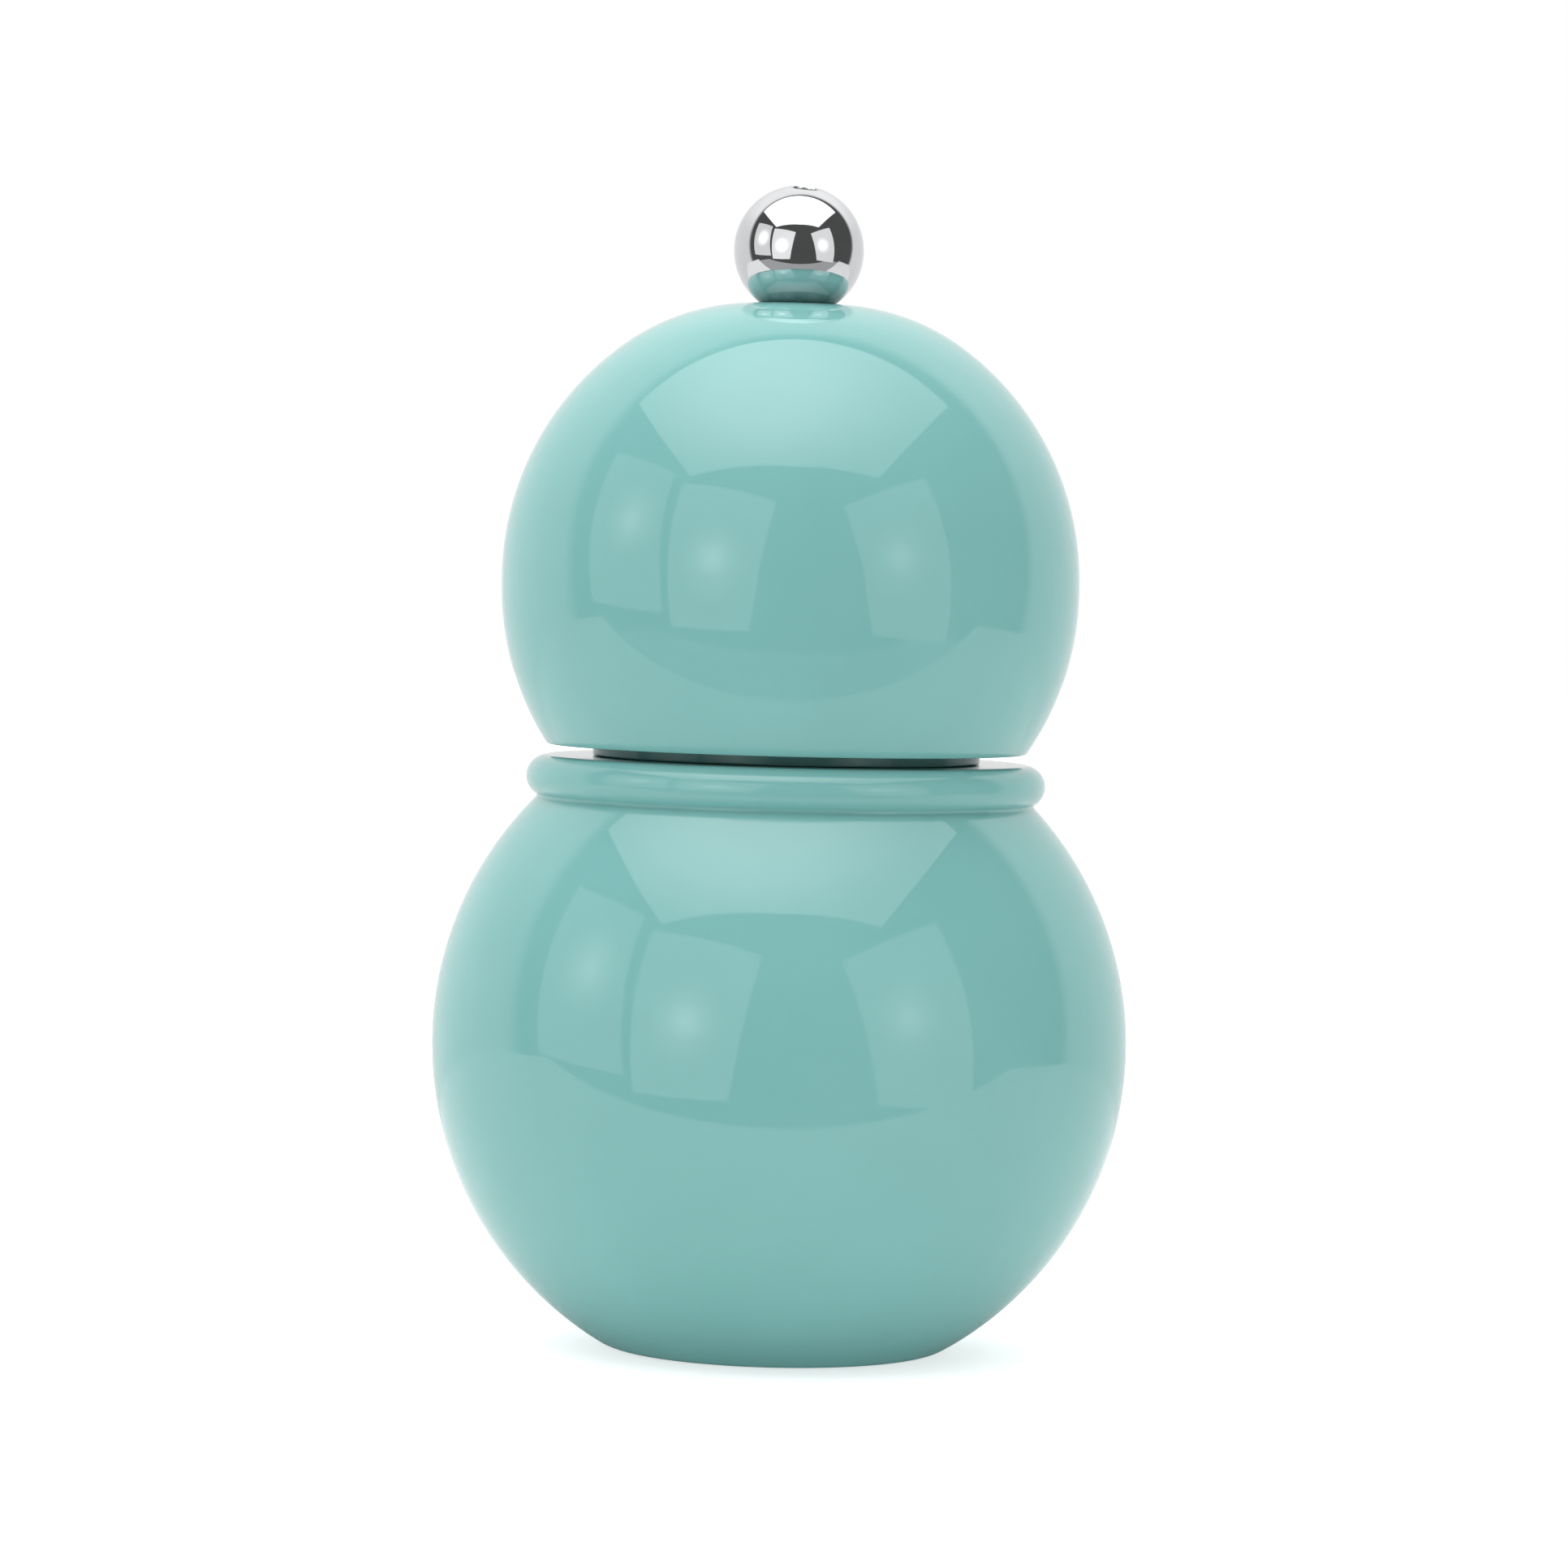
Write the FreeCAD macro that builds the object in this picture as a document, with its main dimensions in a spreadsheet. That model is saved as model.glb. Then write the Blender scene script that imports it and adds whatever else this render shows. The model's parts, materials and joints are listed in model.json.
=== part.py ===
import FreeCAD, Part
import math
import os

import Sketcher

# Pepper mill of two turned wooden balls with a chromed ball nut on top.
# Millimetres, +Z up, origin on the table under the mill's axis.
# The rotor stands at its lowest place, which is the coarsest grind.

DIMENSIONS = {
    # Body: a ball on a flat foot, with a bead round its neck
    "body_radius": 35.0,
    "body_centre": 30.75,
    "foot_round": 4.2,
    "bead_ring": 24.0,
    "bead_tube": 2.15,
    "bead_centre": 57.25,
    # Bores of the body, from the neck down
    "socket_radius": 17.0,
    "socket_floor": 53.3,
    "chamber_radius": 14.0,
    "funnel_low": 27.5,
    "funnel_high": 30.8,
    "mouth_chamfer": 0.4,
    # Head: two half balls with a short straight band between them, flattened on top
    "head_radius": 29.04,
    "head_centre": 77.0,
    "head_band": 0.8,
    "head_top": 105.15,
    "head_top_round": 22.0,
    "head_edge_round": 0.25,
    "neck_gap": 1.1,
    "bearing_radius": 19.5,
    "spigot_radius": 16.8,
    "spigot_base": 55.0,
    "head_hole_radius": 4.0,
    "head_hole_top": 75.0,
    "thread_hole_radius": 2.4,
    # Ball nut
    "ball_radius": 6.53,
    "ball_centre": 110.5,
    "ball_thread_top": 113.8,
    "ball_pilot_radius": 1.4,
    "ball_pilot_lean": 7.0,
    "ball_pilot_bearing": -65.0,
    "ball_lip": 0.2,
    # Square shaft with a round threaded end above and a round journal below
    "shaft_width": 4.5,
    "shaft_corner": 0.3,
    "shaft_base": 1.6,
    "square_top": 70.0,
    "shaft_top": 111.6,
    "shaft_tip": 0.6,
    "thread_radius": 2.0,
    "journal_radius": 2.2,
    "groove_radius": 1.7,
    # Driver plate under the spigot
    "plate_radius": 11.5,
    "plate_thickness": 1.2,
    "plate_screw_circle": 8.2,
    # Housing, stator and bridge in the foot
    "bridge_base": 4.0,
    "bridge_thickness": 1.0,
    "bridge_ring_bore": 8.6,
    "bridge_hub": 3.9,
    "flange_radius": 13.8,
    "flange_thickness": 2.0,
    "barrel_radius": 10.6,
    "barrel_bore": 9.6,
    "barrel_top": 27.0,
    "web_thickness": 2.5,
    "web_bore": 9.3,
    "hub_radius": 4.7,
    "arm_angle": 26.0,
    "stator_top": 16.0,
    "stator_mouth": 8.9,
    "throat_radius": 7.15,
    "throat_height": 10.8,
    "outlet_radius": 8.2,
    "outlet_height": 7.6,
    "stator_teeth": 30,
    "stator_tooth_root": 8.1,
    # Rotor, carrier and clip, stacked on the shaft above the bridge
    "rest_gap": 0.25,
    "clip_thickness": 0.6,
    "clip_radius": 3.9,
    "clip_opening": 2.6,
    "carrier_flange": 1.0,
    "carrier_flange_radius": 6.0,
    "carrier_radius": 3.85,
    "carrier_lip": 0.4,
    "rotor_radius": 7.6,
    "rotor_top_radius": 5.1,
    "rotor_height": 7.6,
    "rotor_teeth": 30,
    "rotor_tooth_root": 6.75,
    "rotor_flutes": 6,
    "flute_depth": 0.75,
    "flute_width": 2.2,
    "flute_skew": 24.0,
    # Bush, spring and washer between rotor and hub
    "bush_radius": 3.7,
    "bush_flange_radius": 4.6,
    "bush_flange": 0.8,
    "bush_rise": 0.8,
    "washer_thickness": 0.5,
    "washer_radius": 4.6,
    "spring_radius": 3.8,
    "spring_wire": 0.6,
    "spring_pitch": 1.6,
    # Small wood screws, the same six times
    "screw_circle": 12.25,
    "screw_radius": 0.9,
    "screw_length": 10.0,
    "screw_point": 1.8,
    "screw_head_radius": 1.45,
    "screw_head_height": 1.2,
    "screw_head_round": 0.35,
    "screw_slot_length": 1.8,
    "screw_slot_width": 0.45,
    "screw_slot_depth": 0.7,
    # Room between pieces, and how far a cutting outline runs past a face
    "fit": 0.05,
    "slack": 0.1,
    "overrun": 1.0,
}

FULL_TURN = 360
SCREW_COUNT = 3
SCREW_STEP = FULL_TURN / SCREW_COUNT

# How far an edge may lie from the radius and height it is looked up by
EDGE_TOLERANCE = 0.01

# Numbers of a sketch's own level and upright axes, and of the points of an edge
LEVEL_AXIS = -1
UPRIGHT_AXIS = -2
START = 1
END = 2
CENTRE = 3

# Heights that several pieces share, as expressions over the sheet
NECK_TOP = "(dims.bead_centre + dims.bead_tube)"
HEAD_EDGE = "(dims.bead_centre + dims.bead_tube + dims.neck_gap)"
HEAD_LOW = "(dims.head_centre - dims.head_band / 2)"
HEAD_HIGH = "(dims.head_centre + dims.head_band / 2)"
PLATE_BASE = "(dims.spigot_base - dims.plate_thickness)"
BRIDGE_TOP = "(dims.bridge_base + dims.bridge_thickness)"
SHELF = "(dims.bridge_base + dims.bridge_thickness + dims.flange_thickness)"
WEB_BASE = "(dims.barrel_top - dims.web_thickness)"
CLIP_BASE = f"({BRIDGE_TOP} + dims.rest_gap)"
CARRIER_BASE = f"({CLIP_BASE} + dims.clip_thickness)"
ROTOR_BASE = f"({CARRIER_BASE} + dims.carrier_flange)"
ROTOR_TOP = f"({ROTOR_BASE} + dims.rotor_height)"
WASHER_BASE = f"({ROTOR_TOP} + dims.carrier_lip)"
SPRING_BASE = f"({WASHER_BASE} + dims.washer_thickness)"
SPRING_TOP = f"({WEB_BASE} - dims.bush_flange)"

doc = FreeCAD.newDocument("pepper_mill")
sheet = doc.addObject("Spreadsheet::Sheet", "dims")
for row, (alias, size) in enumerate(DIMENSIONS.items(), start=1):
    sheet.set(f"A{row}", alias.replace("_", " "))
    sheet.set(f"B{row}", str(size))
    sheet.setAlias(f"B{row}", alias)
doc.recompute()


def number(expression):
    """Value of an expression over the sheet's cells."""
    return float(sheet.evalExpression(expression))


def new_body(label):
    """Empty body of one sub-part."""
    body = doc.addObject("PartDesign::Body", label)
    body.Label = label
    return body


def origin_feature(body, role):
    """Plane or axis of the body's own origin."""
    return next(item for item in body.Origin.OriginFeatures if item.Role == role)


def new_sketch(body, name, role, height=None):
    """Sketch on one of the body's origin planes, raised to a height along its normal."""
    sketch = body.newObject("Sketcher::SketchObject", name)
    sketch.AttachmentSupport = [(origin_feature(body, role), "")]
    sketch.MapMode = "FlatFace"
    if height:
        sketch.setExpression("AttachmentOffset.Base.z", height)
    return sketch


def bind(sketch, expression, kind, *where):
    """Dimension of a sketch, bound to the sheet."""
    index = sketch.addConstraint(Sketcher.Constraint(kind, *where, number(expression)))
    sketch.setExpression(f"Constraints[{index}]", expression)


def place(sketch, edge, end, across, up):
    """Fix one end of an edge at (across, up), on an axis where a coordinate is 0."""
    for expression, kind, axis in ((across, "DistanceX", UPRIGHT_AXIS), (up, "DistanceY", LEVEL_AXIS)):
        if expression == "0":
            sketch.addConstraint(Sketcher.Constraint("PointOnObject", edge, end, axis))
        else:
            bind(sketch, expression, kind, LEVEL_AXIS, START, edge, end)


def bulge(start, end, radius):
    """Middle point of the shorter arc from start to end. It bulges to the right of the way, or to the
    left where the radius is negative."""
    chord = end - start
    rise = abs(radius) - math.sqrt(radius**2 - (chord.Length / 2) ** 2)
    right = FreeCAD.Vector(chord.y, -chord.x, 0) / chord.Length
    return (start + end) / 2 + right * math.copysign(rise, radius)


def outline(sketch, corners, arcs=None):
    """Closed outline through corners, drawn anticlockwise. arcs gives a side's radius by its number,
    with a minus sign where the side curves inwards."""
    arcs = arcs or {}
    points = [FreeCAD.Vector(number(across), number(up), 0) for across, up in corners]
    count = len(points)
    ends = []
    for side, start in enumerate(points):
        end = points[(side + 1) % count]
        if side in arcs:
            middle = bulge(start, end, number(arcs[side]))
            sketch.addGeometry(Part.Arc(start, middle, end), False)
        else:
            sketch.addGeometry(Part.LineSegment(start, end), False)
        # An arc always runs anticlockwise, so one that curves inwards starts at the side's far end.
        inwards = side in arcs and number(arcs[side]) < 0
        ends.append((END, START) if inwards else (START, END))
    for side in range(count):
        after = (side + 1) % count
        sketch.addConstraint(Sketcher.Constraint("Coincident", side, ends[side][1], after, ends[after][0]))
    for side, (across, up) in enumerate(corners):
        place(sketch, side, ends[side][0], across, up)
    for side, radius in arcs.items():
        bind(sketch, f"abs({radius})", "Radius", side)


def circle(sketch, across, up, radius):
    """Circle about (across, up)."""
    centre = FreeCAD.Vector(number(across), number(up), 0)
    normal = FreeCAD.Vector(0, 0, 1)
    edge = sketch.addGeometry(Part.Circle(centre, normal, number(radius)), False)
    place(sketch, edge, CENTRE, across, up)
    bind(sketch, radius, "Radius", edge)


def square(sketch, width):
    """Square about the axis, with sides along X and Y."""
    half = f"({width}) / 2"
    minus = f"-({width}) / 2"
    outline(sketch, [(minus, minus), (half, minus), (half, half), (minus, half)])


def finish_cut(body, feature):
    """Recompute a cut and stop if it took nothing away."""
    before = feature.BaseFeature.Shape.Volume
    body.Tip = feature
    doc.recompute()
    if feature.Shape.Volume >= before:
        raise RuntimeError(f"{feature.Name} cuts nothing from {body.Label}")
    return feature


def spin(body, sketch, kind):
    """Turn a sketch once round the mill's axis, as a Revolution or a Groove."""
    feature = body.newObject(f"PartDesign::{kind}", f"{sketch.Name}_turned")
    feature.Profile = sketch
    feature.ReferenceAxis = (sketch, ["V_Axis"])
    feature.Angle = FULL_TURN
    doc.recompute()
    return feature


def turn(body, name, corners, arcs=None):
    """Add what an outline in the plane of the axis sweeps."""
    sketch = new_sketch(body, name, "XZ_Plane")
    outline(sketch, corners, arcs)
    return spin(body, sketch, "Revolution")


def bore(body, name, corners):
    """Take away what an outline in the plane of the axis sweeps."""
    sketch = new_sketch(body, name, "XZ_Plane")
    outline(sketch, corners)
    return finish_cut(body, spin(body, sketch, "Groove"))


def pad(body, sketch, length):
    """Raise a flat sketch by a length."""
    feature = body.newObject("PartDesign::Pad", f"{sketch.Name}_pad")
    feature.Profile = sketch
    feature.setExpression("Length", length)
    doc.recompute()
    return feature


def pocket(body, sketch, depth):
    """Cut a flat sketch downwards by a depth."""
    feature = body.newObject("PartDesign::Pocket", f"{sketch.Name}_cut")
    feature.Profile = sketch
    feature.setExpression("Length", depth)
    doc.recompute()
    return finish_cut(body, feature)


def around(body, feature, count):
    """Repeat a feature evenly round the mill's axis."""
    pattern = body.newObject("PartDesign::PolarPattern", f"{feature.Name}_round")
    pattern.Originals = [feature]
    pattern.Axis = (origin_feature(body, "Z_Axis"), [""])
    pattern.Angle = FULL_TURN
    pattern.setExpression("Occurrences", count)
    body.Tip = pattern
    doc.recompute()
    return pattern


def dress_edges(body, kind, size_name, size, wanted):
    """Fillet or chamfer of those edges of the body that pass a test."""
    base = body.Tip
    names = [f"Edge{index}" for index, edge in enumerate(base.Shape.Edges, start=1) if wanted(edge)]
    feature = body.newObject(f"PartDesign::{kind}", f"{body.Label}_{kind}")
    feature.Base = (base, names)
    feature.setExpression(size_name, size)
    body.Tip = feature
    doc.recompute()
    return feature


def dress(body, kind, size_name, size, radius, height):
    """Fillet or chamfer of the round edge that lies at a radius and a height."""
    wanted = (number(radius), number(height))

    def at_place(edge):
        """Whether an edge is a circle at the wanted radius and height."""
        if not isinstance(edge.Curve, Part.Circle):
            return False
        found = (edge.Curve.Radius, edge.Curve.Center.z)
        return max(abs(a - b) for a, b in zip(found, wanted)) < EDGE_TOLERANCE

    return dress_edges(body, kind, size_name, size, at_place)


def fillet(body, size, radius, height):
    return dress(body, "Fillet", "Radius", size, radius, height)


def chamfer(body, size, radius, height):
    return dress(body, "Chamfer", "Size", size, radius, height)


def drill(body, name, across, radius, top, depth):
    """Upright round hole from a height downwards."""
    sketch = new_sketch(body, name, "XY_Plane", top)
    circle(sketch, across, "0", radius)
    return pocket(body, sketch, depth)


def square_hole(body, name, top, depth):
    """Square hole on the axis in which the shaft slides."""
    sketch = new_sketch(body, name, "XY_Plane", top)
    square(sketch, "dims.shaft_width + 2 * dims.fit")
    return pocket(body, sketch, depth)


def windows(body, name, inner, outer, top, depth):
    """Three openings between arms, each a sector of a ring."""
    sketch = new_sketch(body, name, "XY_Plane", top)
    half = f"({SCREW_STEP / 2} - dims.arm_angle / 2)"
    corners = [
        (f"{inner} * cos({half})", f"-({inner}) * sin({half})"),
        (f"{outer} * cos({half})", f"-({outer}) * sin({half})"),
        (f"{outer} * cos({half})", f"{outer} * sin({half})"),
        (f"{inner} * cos({half})", f"{inner} * sin({half})"),
    ]
    outline(sketch, corners, {1: outer, 3: f"-{inner}"})
    return around(body, pocket(body, sketch, depth), str(SCREW_COUNT))


def make_base_body():
    """Lower ball of turned wood, with its bead, bored right through."""
    body = new_body("base_body")
    foot = "sqrt(dims.body_radius^2 - dims.body_centre^2)"
    ball_corners = [
        ("0", "0"),
        (foot, "0"),
        ("dims.bead_ring", "dims.body_centre + sqrt(dims.body_radius^2 - dims.bead_ring^2)"),
        ("dims.bead_ring", NECK_TOP),
        ("0", NECK_TOP),
    ]
    turn(body, "body_ball", ball_corners, {1: "dims.body_radius"})
    fillet(body, "dims.foot_round", foot, "0")
    bead = new_sketch(body, "body_bead", "XZ_Plane")
    circle(bead, "dims.bead_ring", "dims.bead_centre", "dims.bead_tube")
    spin(body, bead, "Revolution")
    recess = "dims.flange_radius + dims.slack"
    barrel = "dims.barrel_radius + dims.slack"
    bore_corners = [
        ("0", "-dims.overrun"),
        (recess, "-dims.overrun"),
        (recess, SHELF),
        (barrel, SHELF),
        (barrel, "dims.funnel_low"),
        ("dims.chamber_radius", "dims.funnel_high"),
        ("dims.chamber_radius", "dims.socket_floor"),
        ("dims.socket_radius", "dims.socket_floor"),
        ("dims.socket_radius", f"{NECK_TOP} + dims.overrun"),
        ("0", f"{NECK_TOP} + dims.overrun"),
    ]
    bore(body, "body_bore", bore_corners)
    chamfer(body, "dims.mouth_chamfer", recess, "0")
    chamfer(body, "dims.mouth_chamfer", "dims.socket_radius", NECK_TOP)
    pilot_top = "(dims.bridge_base + dims.screw_length)"
    hole = drill(
        body, "body_pilot", "dims.screw_circle", "dims.screw_radius", pilot_top, f"{pilot_top} - {SHELF}"
    )
    around(body, hole, str(SCREW_COUNT))
    return body


def make_mill_head():
    """Upper ball of turned wood, with the spigot that centres it in the neck."""
    body = new_body("mill_head")
    shoulder = f"({NECK_TOP} + dims.fit)"
    edge = f"sqrt(dims.head_radius^2 - ({HEAD_LOW} - {HEAD_EDGE})^2)"
    crown = f"sqrt(dims.head_radius^2 - (dims.head_top - {HEAD_HIGH})^2)"
    corners = [
        ("0", "dims.spigot_base"),
        ("dims.spigot_radius", "dims.spigot_base"),
        ("dims.spigot_radius", shoulder),
        ("dims.bearing_radius", shoulder),
        ("dims.bearing_radius", HEAD_EDGE),
        (edge, HEAD_EDGE),
        ("dims.head_radius", HEAD_LOW),
        ("dims.head_radius", HEAD_HIGH),
        (crown, "dims.head_top"),
        ("0", "dims.head_top"),
    ]
    turn(body, "head_ball", corners, {5: "dims.head_radius", 7: "dims.head_radius"})
    fillet(body, "dims.head_top_round", crown, "dims.head_top")
    fillet(body, "dims.head_edge_round", edge, HEAD_EDGE)
    chamfer(body, "dims.mouth_chamfer", "dims.spigot_radius", "dims.spigot_base")
    depth = "dims.head_hole_top - dims.spigot_base"
    drill(body, "head_hole", "0", "dims.head_hole_radius", "dims.head_hole_top", depth)
    depth = "dims.head_top - dims.spigot_base"
    drill(body, "head_thread_hole", "0", "dims.thread_hole_radius", "dims.head_top", depth)
    pilot_top = f"({PLATE_BASE} + dims.screw_length)"
    pilot_depth = f"{pilot_top} - dims.spigot_base"
    hole = drill(
        body, "head_pilot", "dims.plate_screw_circle", "dims.screw_radius", pilot_top, pilot_depth
    )
    around(body, hole, str(SCREW_COUNT))
    return body


def make_ball_knob():
    """Chromed ball nut with a flat underside, tapped from below, its pilot hole open near the crown."""
    body = new_body("ball_knob")
    seat = "(dims.head_top + dims.fit)"
    foot = f"sqrt(dims.ball_radius^2 - (dims.ball_centre - {seat})^2)"
    thread = "dims.thread_radius + dims.fit"
    corners = [
        (thread, seat),
        (foot, seat),
        ("dims.ball_radius", "dims.ball_centre"),
        ("0", "dims.ball_centre + dims.ball_radius"),
        ("0", "dims.ball_thread_top"),
        (thread, "dims.ball_thread_top"),
    ]
    turn(body, "knob_ball", corners, {1: "dims.ball_radius", 2: "dims.ball_radius"})
    pilot = new_sketch(body, "knob_pilot", "XY_Plane", "dims.ball_centre")
    circle(pilot, "0", "0", "dims.ball_pilot_radius")
    # The pilot hole runs up from the ball's centre and leans a little from the mill's axis.
    leaning = FreeCAD.Rotation(FreeCAD.Vector(0, 1, 0), number("dims.ball_pilot_lean"))
    bearing = FreeCAD.Rotation(FreeCAD.Vector(0, 0, 1), number("dims.ball_pilot_bearing"))
    pilot.AttachmentOffset = FreeCAD.Placement(FreeCAD.Vector(), bearing * leaning)
    cut = body.newObject("PartDesign::Pocket", "knob_pilot_cut")
    cut.Profile = pilot
    cut.Reversed = True
    cut.setExpression("Length", "dims.ball_radius + dims.overrun")
    doc.recompute()
    finish_cut(body, cut)
    above = number("dims.ball_thread_top + dims.overrun")
    dress_edges(body, "Fillet", "Radius", "dims.ball_lip", lambda edge: edge.BoundBox.ZMin > above)
    return body


def make_drive_shaft():
    """Square rod, turned round below for the bridge and the clip, and above for the nut's thread."""
    body = new_body("drive_shaft")
    corners = [
        ("0", "dims.shaft_base"),
        ("dims.journal_radius - dims.shaft_corner", "dims.shaft_base"),
        ("dims.journal_radius", "dims.shaft_base + dims.shaft_corner"),
        ("dims.journal_radius", CLIP_BASE),
        ("dims.groove_radius", CLIP_BASE),
        ("dims.groove_radius", CARRIER_BASE),
        ("dims.thread_radius", CARRIER_BASE),
        ("dims.thread_radius", "dims.shaft_top - dims.shaft_tip"),
        ("dims.thread_radius - dims.shaft_tip", "dims.shaft_top"),
        ("0", "dims.shaft_top"),
    ]
    turn(body, "shaft_round", corners)
    bar = new_sketch(body, "shaft_square", "XY_Plane", CARRIER_BASE)
    half = "dims.shaft_width / 2"
    inset = "(dims.shaft_width / 2 - dims.shaft_corner)"
    bar_corners = [
        (inset, f"-{half}"),
        (half, f"-{inset}"),
        (half, inset),
        (inset, half),
        (f"-{inset}", half),
        (f"-{half}", inset),
        (f"-{half}", f"-{inset}"),
        (f"-{inset}", f"-{half}"),
    ]
    outline(bar, bar_corners)
    pad(body, bar, f"dims.square_top - {CARRIER_BASE}")
    return body


def make_driver_plate():
    """Steel disc with a square hole, screwed under the spigot."""
    body = new_body("driver_plate")
    disc = new_sketch(body, "plate_disc", "XY_Plane", PLATE_BASE)
    circle(disc, "0", "0", "dims.plate_radius")
    pad(body, disc, "dims.plate_thickness")
    square_hole(body, "plate_square", "dims.spigot_base", "dims.plate_thickness")
    hole = drill(
        body,
        "plate_hole",
        "dims.plate_screw_circle",
        "dims.screw_radius + dims.slack",
        "dims.spigot_base",
        "dims.plate_thickness",
    )
    around(body, hole, str(SCREW_COUNT))
    return body


def make_shaft_bush():
    """Nylon bush that turns in the housing's hub and lets the square shaft slide."""
    body = new_body("shaft_bush")
    flange_top = f"{WEB_BASE} - dims.fit"
    top = "dims.barrel_top + dims.bush_rise"
    corners = [
        ("0", SPRING_TOP),
        ("dims.bush_flange_radius", SPRING_TOP),
        ("dims.bush_flange_radius", flange_top),
        ("dims.bush_radius", flange_top),
        ("dims.bush_radius", top),
        ("0", top),
    ]
    turn(body, "bush_turned", corners)
    square_hole(body, "bush_square", top, f"{top} - {SPRING_TOP}")
    return body


def make_thrust_spring():
    """Open coil spring with its ends ground flat, between the bush and the washer."""
    body = new_body("thrust_spring")
    wire = new_sketch(body, "spring_wire", "XZ_Plane")
    circle(wire, "dims.spring_radius", SPRING_BASE, "dims.spring_wire / 2")
    coil = body.newObject("PartDesign::AdditiveHelix", "spring_coil")
    coil.Profile = wire
    coil.ReferenceAxis = (wire, ["V_Axis"])
    coil.Mode = "pitch-height-angle"
    coil.setExpression("Pitch", "dims.spring_pitch")
    coil.setExpression("Height", f"{SPRING_TOP} - {SPRING_BASE}")
    doc.recompute()
    for name, top in (("spring_foot", SPRING_BASE), ("spring_head", f"{SPRING_TOP} + dims.overrun")):
        end = new_sketch(body, name, "XY_Plane", top)
        circle(end, "0", "0", "dims.spring_radius + dims.overrun")
        pocket(body, end, "dims.overrun")
    return body


def make_spring_washer():
    """Plain steel washer on the carrier, under the spring."""
    body = new_body("spring_washer")
    ring = new_sketch(body, "washer_ring", "XY_Plane", WASHER_BASE)
    circle(ring, "0", "0", "dims.washer_radius")
    circle(ring, "0", "0", "dims.shaft_width / sqrt(2)")
    pad(body, ring, "dims.washer_thickness")
    return body


def make_rotor_carrier():
    """Nylon sleeve that carries the rotor and turns with the square shaft."""
    body = new_body("rotor_carrier")
    corners = [
        ("0", CARRIER_BASE),
        ("dims.carrier_flange_radius", CARRIER_BASE),
        ("dims.carrier_flange_radius", ROTOR_BASE),
        ("dims.carrier_radius", ROTOR_BASE),
        ("dims.carrier_radius", WASHER_BASE),
        ("0", WASHER_BASE),
    ]
    turn(body, "carrier_turned", corners)
    square_hole(body, "carrier_square", WASHER_BASE, f"{WASHER_BASE} - {CARRIER_BASE}")
    return body


def make_rotor_burr():
    """Ceramic cone with fine teeth round its lower edge and slanted flutes up its side."""
    body = new_body("rotor_burr")
    hole = "dims.carrier_radius + dims.fit"
    corners = [
        (hole, ROTOR_BASE),
        ("dims.rotor_radius", ROTOR_BASE),
        ("dims.rotor_top_radius", ROTOR_TOP),
        (hole, ROTOR_TOP),
    ]
    turn(body, "rotor_cone", corners)
    tooth = new_sketch(body, "rotor_tooth", "XY_Plane", ROTOR_TOP)
    half_pitch = "dims.rotor_radius * tan(180 / dims.rotor_teeth)"
    tooth_corners = [
        ("dims.rotor_tooth_root", "0"),
        ("dims.rotor_radius + dims.fit", f"-{half_pitch}"),
        ("dims.rotor_radius + dims.fit", half_pitch),
    ]
    outline(tooth, tooth_corners)
    around(body, pocket(body, tooth, "dims.rotor_height"), "dims.rotor_teeth")
    flute = new_sketch(body, "rotor_flute", "XY_Plane", f"{ROTOR_BASE} + dims.rotor_height / 2")
    flute.setExpression("AttachmentOffset.Base.x", "(dims.rotor_radius + dims.rotor_top_radius) / 2")
    lean = "atan((dims.rotor_radius - dims.rotor_top_radius) / dims.rotor_height)"
    flute_corners = [
        ("0 - dims.flute_depth", "0"),
        ("dims.flute_depth", "-dims.flute_width"),
        ("dims.flute_depth", "dims.flute_width"),
    ]
    outline(flute, flute_corners)
    # The flute's outline stands square to the cone's slope, halfway up, and is skewed about the radius.
    turned = FreeCAD.Rotation(FreeCAD.Vector(1, 0, 0), number("dims.flute_skew"))
    leaning = FreeCAD.Rotation(FreeCAD.Vector(0, 1, 0), -number(lean))
    flute.AttachmentOffset = FreeCAD.Placement(FreeCAD.Vector(), leaning * turned)
    cut = body.newObject("PartDesign::Pocket", "rotor_flute_cut")
    cut.Profile = flute
    cut.Midplane = True
    cut.setExpression("Length", "2 * dims.rotor_height")
    doc.recompute()
    around(body, finish_cut(body, cut), "dims.rotor_flutes")
    return body


def make_shaft_clip():
    """Open retaining ring in the shaft's groove."""
    body = new_body("shaft_clip")
    ring = new_sketch(body, "clip_ring", "XY_Plane", CLIP_BASE)
    circle(ring, "0", "0", "dims.clip_radius")
    circle(ring, "0", "0", "dims.groove_radius + dims.fit")
    pad(body, ring, "dims.clip_thickness")
    opening = new_sketch(body, "clip_opening", "XY_Plane", CARRIER_BASE)
    half = "dims.clip_opening / 2"
    reach = "dims.clip_radius + dims.overrun"
    outline(opening, [("0", f"-{half}"), (reach, f"-{half}"), (reach, half), ("0", half)])
    pocket(body, opening, "dims.clip_thickness")
    return body


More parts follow.
